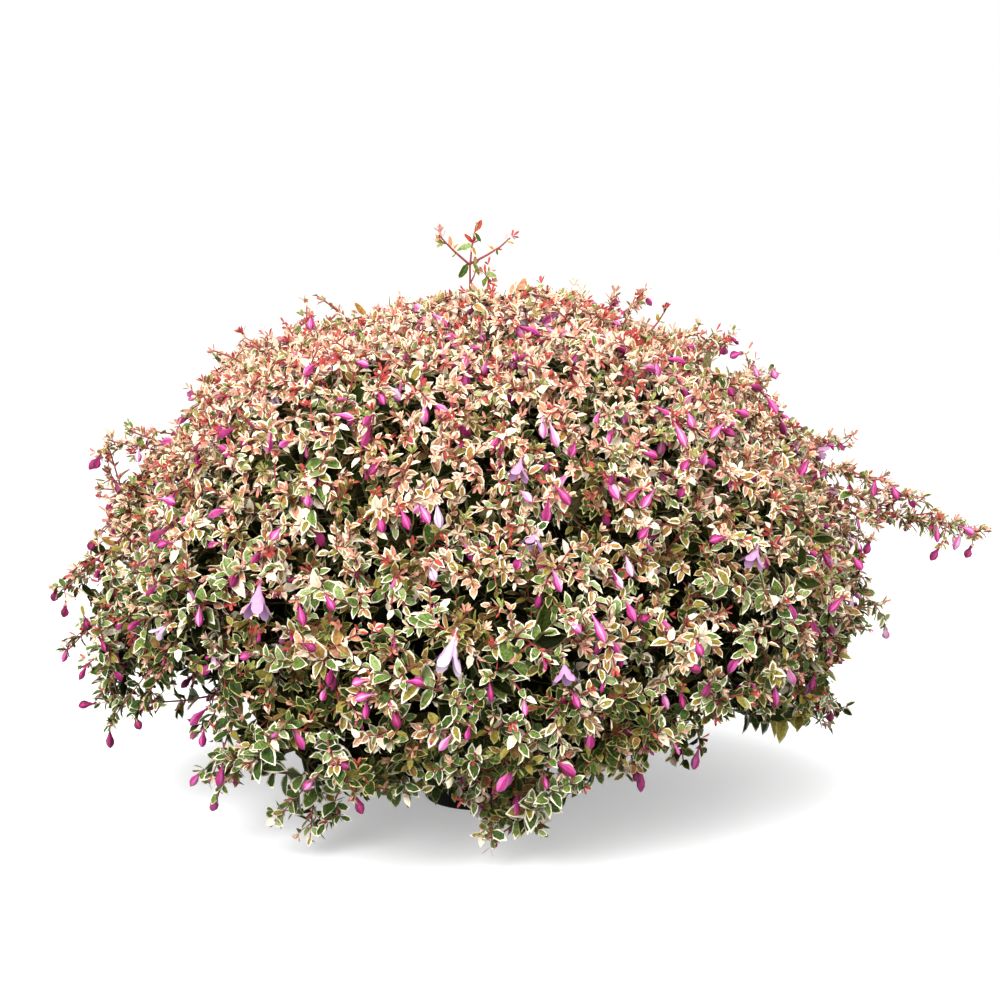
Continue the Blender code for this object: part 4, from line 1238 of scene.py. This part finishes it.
# How many calyxes take each colour at the ground, and how that changes with height; the last is painted shade, dull
# calyxes that grow fewer towards the top
calyxShares = dict(rose=(0.16, 0.10), coral=(0.20, 0), blush=(0.34, 0), green=(0.14, 0), dim=(0.32, -0.32))
calyxColours = {
    "rose": ((0.500, 0.088, 0.076), (0.310, 0.038, 0.032)),
    "coral": ((0.700, 0.340, 0.265), (0.480, 0.165, 0.115)),
    "blush": ((0.900, 0.680, 0.530), (0.640, 0.360, 0.220)),
    "green": ((0.360, 0.380, 0.120), (0.200, 0.220, 0.050)),
    # painted shade: dull, darker calyxes
    "dim": ((0.330, 0.190, 0.110), (0.180, 0.085, 0.045)),
}
budPlan = dict(length=0.025, radius=0.0041, radiusPlay=(0.85, 1.1), sides=8, bow=0.20, ribs=3, ridge=0.16, twist=2)
budPlan.update(shownRadius=1.1, shownSides=12, smallShare=0.50, smallSizes=(0.40, 0.66), smallSides=5)
budPlan.update(fullSizes=(0.80, 1.20), upper=0.31, lower=0.19, loose=0.4, looseBelow=0.95, reach=0.010)
budPlan.update(aside=(0.1, 1.0), outward=0.22, hang=(0.25, 0.9), play=0.25, together=(1, 1, 1, 2), seed=47)
# The colours of small and of full buds: how many at the ground, and how that changes with height
smallShares = dict(plum=(0.45, 0), magenta=(0.40, 0), orchid=(0.15, 0))
fullShares = dict(magenta=(0.44, 0), orchid=(0.18, 0.16), plum=(0.26, -0.16), lilac=(0.04, 0.11))
# The paler streak colour in the folds of each, and the darker colour in the folds, partly the buds' own streaks and
# partly painted shade
foldStreaks = dict(magenta="orchid", orchid="lilac", plum="magenta", lilac="white", white="lilac")
paintedFoldShades = dict(magenta="plum", orchid="magenta", plum="dusk", lilac="orchid", white="mauve", mauve="lilac")
budProfile = ((0.0, 0.17), (0.28, 0.22), (0.48, 0.50), (0.68, 0.96), (0.84, 0.88), (0.95, 0.44), (1.0, 0.05))
flowerColours = {
    "magenta": ((0.460, 0.028, 0.200), (0.210, 0.008, 0.082)),
    "orchid": ((0.640, 0.145, 0.390), (0.380, 0.034, 0.190)),
    "plum": ((0.260, 0.012, 0.092), (0.110, 0.004, 0.036)),
    # the darker colour in the folds of the plum buds, partly painted shade
    "dusk": ((0.140, 0.006, 0.048), (0.060, 0.002, 0.020)),
    "lilac": ((0.700, 0.370, 0.560), (0.470, 0.175, 0.350)),
    "white": ((0.800, 0.690, 0.790), (0.620, 0.440, 0.600)),
    "mauve": ((0.560, 0.340, 0.560), (0.390, 0.190, 0.390)),
}
bellPlan = dict(length=0.034, mouth=0.0130, mouthPower=0.4, lobes=5, perLobe=6, point=2.4, count=14)
bellPlan.update(tube=((0.0, 0.09), (0.22, 0.12), (0.40, 0.26), (0.52, 0.44), (0.66, 0.54)))
bellPlan.update(flare=(0.30, 0.62, 0.85, 1.0))
bellPlan.update(widen=0.62, between=0.25, outward=0.7, hang=0.7, play=0.4, sizes=(0.62, 1.0))
petalFinish = dict(streaks=300.0, detail=3.0, roughness=0.42, roughPlay=0.2, relief=0.0002, gloss=0.25)


def petalMaterial(name, light, dark):
    paint = Paint(name)
    streak = paint.cloud(petalFinish["streaks"], petalFinish["detail"])
    colour = paint.blend(streak, dark, light)
    rough = petalFinish["roughness"] + streak * petalFinish["roughPlay"]
    return paint.finish(colour, rough, streak, petalFinish["relief"], Specular_IOR_Level=petalFinish["gloss"])


def drawnKind(shares, height, rng):
    return rng.choices(list(shares), [low + change * height for low, change in shares.values()])[0]


def addCalyx(foot, heading, rng, share=1.0):
    # sepals round a heading, each a small variegated leaf
    count = rng.randint(*calyxPlan["sepals"])
    turnAt = rng.uniform(0, math.pi)
    side, over = sideOf(heading, 0), sideOf(heading, 1)
    kind = drawnKind(calyxShares, heightOf(foot), rng)
    for k in range(count):
        turn = turnAt + 2 * math.pi * k / count
        around = side * math.cos(turn) + over * math.sin(turn)
        spread = calyxPlan["spread"] * rng.uniform(*calyxPlan["spreadPlay"])
        way = (heading * math.cos(spread) + around * math.sin(spread)).normalized()
        face = heading * math.sin(spread) - around * math.cos(spread)
        size = calyxPlan["length"] * share * rng.uniform(*calyxPlan["lengthPlay"])
        width = calyxPlan["width"] * share * rng.uniform(*calyxPlan["widthPlay"])
        addLeaf(sepalsOf, kind, foot, way, face, size, width, calyxPlan["curl"], calyxPlan["fold"])


def clubMesh(foot, heading, length, radius, sides):
    # a closed bud: a thin tube that swells to a pointed club, ribbed by its folded lobes
    verts = []
    side, over = sideOf(heading, 0), sideOf(heading, 1)
    profile = budProfile if sides >= budPlan["sides"] else budProfile[::2]
    for t, r in profile:
        bow = 0.25 - (t - 0.5) ** 2
        centre = foot + heading * length * t + up * length * budPlan["bow"] * bow
        for k in range(sides):
            turn = 2 * math.pi * k / sides
            ridge = 1 + budPlan["ridge"] * math.cos(budPlan["ribs"] * turn + budPlan["twist"] * t) * t
            verts.append(centre + (side * math.cos(turn) + over * math.sin(turn)) * radius * r * ridge)
    faces = ringFaces(len(profile), sides)
    last = (len(profile) - 1) * sides
    faces += [(last, last + k, last + k + 1) for k in range(1, sides - 1)]
    return np.array(verts), np.array(faces)


def bellMesh(foot, heading, length, mouth):
    # a narrow funnel that opens into five pointed lobes
    side, over = sideOf(heading, 0), sideOf(heading, 1)
    around = bellPlan["lobes"] * bellPlan["perLobe"]
    throat, wide = bellPlan["tube"][-1]
    least = bellPlan["between"]
    verts = []
    for k in range(around):
        turn = 2 * math.pi * k / around
        lobe = 1 - abs(2 * (k / bellPlan["perLobe"] % 1) - 1) ** bellPlan["point"]
        rings = list(bellPlan["tube"])
        for u in bellPlan["flare"]:
            opening = wide + bellPlan["widen"] * u * (least + (1 - least) * lobe)
            rings.append((throat + (1 - throat) * u * lobe, opening))
        for t, r in rings:
            out = (side * math.cos(turn) + over * math.sin(turn)) * mouth * r
            verts.append(foot + heading * length * t + out)
    count = len(rings)
    faces = []
    for k in range(around):
        for i in range(count - 1):
            a, b = k * count + i, (k + 1) % around * count + i
            faces += [(a, b, b + 1), (a, b + 1, a + 1)]
    return np.array(verts), np.array(faces)


def hangingWay(along, outward, rng):
    flat = sideOf(along, 0) * rng.choice((1, -1))
    way = flat * rng.uniform(*budPlan["aside"]) + outward * budPlan["outward"] - up * rng.uniform(*budPlan["hang"])
    return (way + randomVector(rng, budPlan["play"])).normalized()


sepalsOf = {}


def makeFlowers():
    rng = random.Random(budPlan["seed"])
    closed = {kind: [] for kind in flowerColours}
    opened = {kind: [] for kind in flowerColours}

    def addBud(kind, foot, heading, length, radius, sides):
        # of the folds of a full-grown bud, every fourth is paler, a streak, and every fourth darker, partly a streak
        # and partly painted shade
        verts, faces = clubMesh(foot, heading, length, radius, sides)
        fold = np.arange(len(faces)) // 2 % sides % 4
        if sides < budPlan["sides"]:
            fold[:] = 0
        closed[kind].append((verts, faces[fold % 2 == 0]))
        if fold.any():
            closed[foldStreaks[kind]].append((verts, faces[fold == 1]))
            closed[paintedFoldShades[kind]].append((verts, faces[fold == 3]))
        addCalyx(foot, heading, rng, calyxPlan["onBud"])

    def addBell(kind, foot, heading, length, mouth):
        # painted shade: darker in the folds between its lobes
        verts, faces = bellMesh(foot, heading, length, mouth)
        perColumn = 2 * (len(bellPlan["tube"]) + len(bellPlan["flare"]) - 1)
        column = np.arange(len(faces)) // perColumn % bellPlan["perLobe"]
        isShadedFold = (column == 0) | (column == bellPlan["perLobe"] - 1)
        opened[kind].append((verts, faces[~isShadedFold]))
        opened[paintedFoldShades[kind]].append((verts, faces[isShadedFold]))
        addCalyx(foot, heading, rng)

    def addShown(foot, heading, length, kind):
        if kind.endswith("bell"):
            mouth = bellPlan["mouth"] * (length / bellPlan["length"]) ** bellPlan["mouthPower"]
            addBell(kind.split("_")[0], foot, heading, length, mouth)
        else:
            addBud(kind, foot, heading, length, budPlan["radius"] * budPlan["shownRadius"], budPlan["shownSides"])

    for shoot in shoots:
        if shoot.kind in ("inner", "middle", "stalk"):
            continue
        points = shoot.points
        steps = stepsOf(points)
        tip = points[-1]
        outward = (tip - crown["centre"]).normalized()
        height = heightOf(tip)
        if shoot.flower:
            addShown(*shoot.flower)
        many = calyxPlan["lower"] + (calyxPlan["upper"] - calyxPlan["lower"]) * height
        many = calyxPlan["leader"] if shoot.mass.tier == "leader" else many
        for _ in range(int(many + rng.random())):
            place, along = placeBack(points, steps, rng.uniform(0, 1) ** 2 * calyxPlan["reach"])
            way = along * calyxPlan["along"] + outward * calyxPlan["outward"]
            heading = (way + randomVector(rng, calyxPlan["play"])).normalized()
            addCalyx(place + heading * rng.uniform(*calyxPlan["lift"]), heading, rng)
        chance = budPlan["lower"] + (budPlan["upper"] - budPlan["lower"]) * height
        chance = budPlan["loose"] if shoot.kind == "stray" and height < budPlan["looseBelow"] else chance
        if shoot.flower or shoot.mass.tier == "leader" or rng.random() > chance:
            continue
        for _ in range(rng.choice(budPlan["together"])):
            place, along = placeBack(points, steps, rng.uniform(0, budPlan["reach"]))
            heading = hangingWay(along, outward, rng)
            isSmall = rng.random() < budPlan["smallShare"]
            kind = drawnKind(smallShares if isSmall else fullShares, height, rng)
            size = rng.uniform(*budPlan["smallSizes" if isSmall else "fullSizes"])
            radius = budPlan["radius"] * size * rng.uniform(*budPlan["radiusPlay"])
            sides = budPlan["smallSides" if isSmall else "sides"]
            addBud(kind, place, heading, budPlan["length"] * size, radius, sides)
    fine = [shoot for shoot in shoots if shoot.kind == "fine"]
    for shoot in rng.sample(fine, bellPlan["count"]):
        tip = shoot.points[-1]
        outward = (tip - crown["centre"]).normalized()
        way = outward * bellPlan["outward"] - up * bellPlan["hang"] + randomVector(rng, bellPlan["play"])
        size = rng.uniform(*bellPlan["sizes"])
        kind = rng.choice(("white", "mauve", "lilac"))
        addBell(kind, tip, way.normalized(), bellPlan["length"] * size, bellPlan["mouth"] * size)
    for shoot in shoots:
        if shoot.kind == "stalk":
            addShown(*shoot.flower)
    made = []
    for kind, colours in flowerColours.items():
        for label, meshes in (("buds", closed[kind]), ("bells", opened[kind])):
            if meshes:
                name = f"{label}_{kind}"
                made += joinedPieces(name, meshes, petalMaterial(name, *colours), smooth=True)
    for kind, rows in sepalsOf.items():
        material = leafMaterial(f"sepal_{kind}", *calyxColours[kind])
        made += joinedPieces(f"sepals_{kind}", [plainLeaves(rows, "sepal")], material)
    return made, (sum(map(len, sepalsOf.values())), sum(map(len, closed.values())))


flowerPieces, flowerCounts = makeFlowers()
foliage += flowerPieces
print(f"made {flowerCounts[0]} sepals and {flowerCounts[1]} buds")

massNodes = [mass.name for mass in masses]
for piece in foliage:
    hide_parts(*massNodes)


# Limbs and root crown, with the bark's relief

barkPlan = dict(rings=70, sides=10, fissure=0.16, fissures=(900, 60), slimmest=0.90)
barkPlan.update(knot=0.22, knotSpacing=0.045, knotWidth=0.12)
barkFinish = dict(light=(0.230, 0.130, 0.085), dark=(0.055, 0.030, 0.020), strips=120.0, stripDetail=6.0)
barkFinish.update(grain=700.0, grainDetail=2.0, grainRelief=0.4, relief=0.0012, roughness=0.70, roughPlay=0.2)


def barkMaterial():
    paint = Paint("old_bark")
    strips = paint.cloud(barkFinish["strips"], barkFinish["stripDetail"])
    grain = paint.cloud(barkFinish["grain"], barkFinish["grainDetail"])
    colour = paint.blend(strips, barkFinish["dark"], barkFinish["light"])
    rough = barkFinish["roughness"] + grain * barkFinish["roughPlay"]
    return paint.finish(colour, rough, strips + grain * barkFinish["grainRelief"], barkFinish["relief"])


def makeBark():
    meshes = []
    names = []
    rings = barkPlan["rings"]
    across, along = barkPlan["fissures"]
    for massName, (limbName, points) in limbPlan.items():
        base, tip = radii[massName.split("_")[0]]
        line = [pointAt(points, i / (rings - 1))[0] for i in range(rings)]
        length = sum(stepsOf(line))
        thickness = []
        for i in range(rings):
            t = i / (rings - 1)
            fromKnot = (t * length / barkPlan["knotSpacing"] % 1 - 0.5) / barkPlan["knotWidth"]
            swelling = barkPlan["knot"] * math.exp(-fromKnot**2)
            thickness.append((base + (tip - base) * t) * (barkPlan["slimmest"] + swelling))
        verts, faces = tubeMesh(line, thickness, barkPlan["sides"])
        for i, vert in enumerate(verts):
            centre = np.array(line[i // barkPlan["sides"]])
            out = vert - centre
            fissure = noise.noise(Vector((out[0] * across, out[1] * across, vert[2] * along)))
            verts[i] = centre + out * (1 + barkPlan["fissure"] * fissure)
        meshes.append((verts, faces))
        names.append(limbName)
    made = joinedPieces("bark_limbs", meshes, barkMaterial(), smooth=True)
    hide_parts(*names)


makeBark()


def turnedMesh(profile, steps, relief=None):
    verts = []
    for radius, height in profile:
        for k in range(steps):
            turn = 2 * math.pi * k / steps
            place = Vector((radius * math.cos(turn), radius * math.sin(turn), height))
            verts.append(place + relief(place) if relief else place)
    return np.array(verts), np.array(ringFaces(len(profile), steps))


stoolBark = dict(steps=48, rings=14, hub=0.0002, footRing=0.6, smoothFoot=0.001, relief=0.0016, fissures=(160, 50))


def makeRootCrown():
    foot = compost["top"] + gap
    hub = stoolBark["hub"]
    profile = [(hub, foot), (stool["foot"] * stoolBark["footRing"], foot), (stool["foot"], foot)]
    for i in range(stoolBark["rings"]):
        angle = stool["shoulder"] + (math.pi / 2 - stool["shoulder"]) * i / (stoolBark["rings"] - 1)
        profile.append((max(stool["radius"] * math.cos(angle), hub), foot + stool["height"] * math.sin(angle)))

    def relief(place):
        if place.z < foot + stoolBark["smoothFoot"]:
            return Vector()
        across, along = stoolBark["fissures"]
        fissure = noise.noise(Vector((place.x * across, place.y * across, place.z * along)))
        return Vector((place.x, place.y, 0)).normalized() * (stoolBark["relief"] * fissure)

    mesh = turnedMesh(profile, stoolBark["steps"], relief)
    made = joinedPieces("root_crown_bark", [mesh], barkMaterial(), smooth=True)
    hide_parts("root_crown")


makeRootCrown()
print("made the bark")


# The pot and its compost

potFinish = dict(light=(0.005, 0.005, 0.005), dark=(0.002, 0.002, 0.002), scuffs=38.0, scuffDetail=5.0)
potFinish.update(grain=1400.0, grainDetail=2.0, relief=0.0003, roughness=0.42, roughPlay=0.3, gloss=0.08)
potShape = dict(steps=96, hub=0.0001, footEdge=0.0015, rimEdge=0.001, rings=(0.02, 0.05, 0.08, 0.11, 0.14))
potShape.update(weld=0.00001, drillSides=24, drillDepth=0.03, sharp=math.radians(35))


def makePot():
    paint = Paint("moulded_plastic")
    grain = paint.cloud(potFinish["grain"], potFinish["grainDetail"])
    scuff = paint.cloud(potFinish["scuffs"], potFinish["scuffDetail"])
    colour = paint.blend(scuff, potFinish["dark"], potFinish["light"])
    rough = potFinish["roughness"] + scuff * potFinish["roughPlay"]
    material = paint.finish(colour, rough, grain, potFinish["relief"], Specular_IOR_Level=potFinish["gloss"])
    lip = pot["topRadius"] + pot["rimOverhang"]
    underRim = pot["height"] - pot["rimHeight"]
    inside = pot["topRadius"] - pot["wall"]
    hub, footEdge, rimEdge = potShape["hub"], potShape["footEdge"], potShape["rimEdge"]
    profile = [(hub, 0), (pot["baseRadius"] - footEdge, 0), (pot["baseRadius"], footEdge)]
    profile += [(potRadius(height), height) for height in potShape["rings"]]
    profile += [(potRadius(underRim), underRim), (lip - rimEdge, underRim), (lip, underRim + rimEdge)]
    profile += [(lip, pot["height"] - rimEdge), (lip - rimEdge, pot["height"]), (inside, pot["height"])]
    profile += [(potRadius(pot["floor"]) - pot["wall"], pot["floor"]), (hub, pot["floor"]), (hub, 0)]
    made = joinedPieces("nursery_pot", [turnedMesh(profile, potShape["steps"])], material)[0]
    weld = bmesh.new()
    weld.from_mesh(made.data)
    bmesh.ops.remove_doubles(weld, verts=weld.verts, dist=potShape["weld"])
    weld.to_mesh(made.data)
    weld.free()
    drill = bmesh.new()
    ring = pot["baseRadius"] - pot["holeInset"]
    size = dict(segments=potShape["drillSides"], radius1=pot["holeRadius"], radius2=pot["holeRadius"])
    for i in range(pot["holes"]):
        spot = directionOf(2 * math.pi * i / pot["holes"], 0) * ring
        hole = bmesh.ops.create_cone(drill, cap_ends=True, depth=potShape["drillDepth"], **size)
        bmesh.ops.translate(drill, verts=hole["verts"], vec=spot)
    bits = bpy.data.objects.new("drill", bpy.data.meshes.new("drill"))
    drill.to_mesh(bits.data)
    drill.free()
    bpy.context.scene.collection.objects.link(bits)
    cut = made.modifiers.new("holes", "BOOLEAN")
    cut.operation, cut.solver, cut.object = "DIFFERENCE", "EXACT", bits
    bpy.context.view_layer.update()
    shaped = bpy.data.meshes.new_from_object(made.evaluated_get(bpy.context.evaluated_depsgraph_get()))
    made.modifiers.clear()
    made.data = shaped
    bpy.data.objects.remove(bits)
    shaped.shade_smooth()
    shaped.set_sharp_from_angle(angle=potShape["sharp"])
    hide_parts("pot")


def potRadius(height):
    return pot["baseRadius"] + (pot["topRadius"] - pot["baseRadius"]) * height / pot["height"]


compostFinish = dict(light=(0.085, 0.050, 0.030), dark=(0.022, 0.014, 0.010), lumps=70.0, lumpDetail=3.0)
compostFinish.update(crumbs=260.0, crumbDetail=6.0, relief=0.003, roughness=0.85, roughPlay=0.1)
crumbPlan = dict(steps=72, rings=15, hub=0.0002, height=0.0022, scale=120, clear=0.002, below=0.001)


def makeCompost():
    paint = Paint("bark_compost")
    crumb = paint.cloud(compostFinish["crumbs"], compostFinish["crumbDetail"])
    lumps = paint.cloud(compostFinish["lumps"], compostFinish["lumpDetail"])
    colour = paint.blend(lumps, compostFinish["dark"], compostFinish["light"])
    rough = compostFinish["roughness"] + crumb * compostFinish["roughPlay"]
    material = paint.finish(colour, rough, crumb, compostFinish["relief"])
    edge = compost["top"] - compost["fall"]
    wall = potRadius(edge) - pot["wall"] - gap
    low = pot["floor"] + gap
    profile = [(crumbPlan["hub"], low), (potRadius(low) - pot["wall"] - gap, low), (wall, edge)]
    for i in range(1, crumbPlan["rings"] + 1):
        radius = wall * (1 - i / crumbPlan["rings"])
        slope = edge + compost["fall"] * (wall - radius) / (wall - compost["flat"])
        height = compost["top"] if radius < compost["flat"] else slope
        profile.append((max(radius, crumbPlan["hub"]), height))

    def relief(place):
        # crumbs, but none against the root crown or the pot's wall
        radius = math.hypot(place.x, place.y)
        clear = crumbPlan["clear"]
        if place.z < edge - crumbPlan["below"] or radius < stool["foot"] + clear or radius > wall - clear:
            return Vector()
        return up * crumbPlan["height"] * noise.noise(place * crumbPlan["scale"])

    mesh = turnedMesh(profile, crumbPlan["steps"], relief)
    made = joinedPieces("compost_crumbs", [mesh], material, smooth=True)
    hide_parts("compost")


makePot()
makeCompost()
print("made the pot and its compost")

total = 0
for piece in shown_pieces():
    if piece.type == "MESH" and not piece.hide_render:
        total += len(piece.data.polygons)
print(f"{total} faces in all")
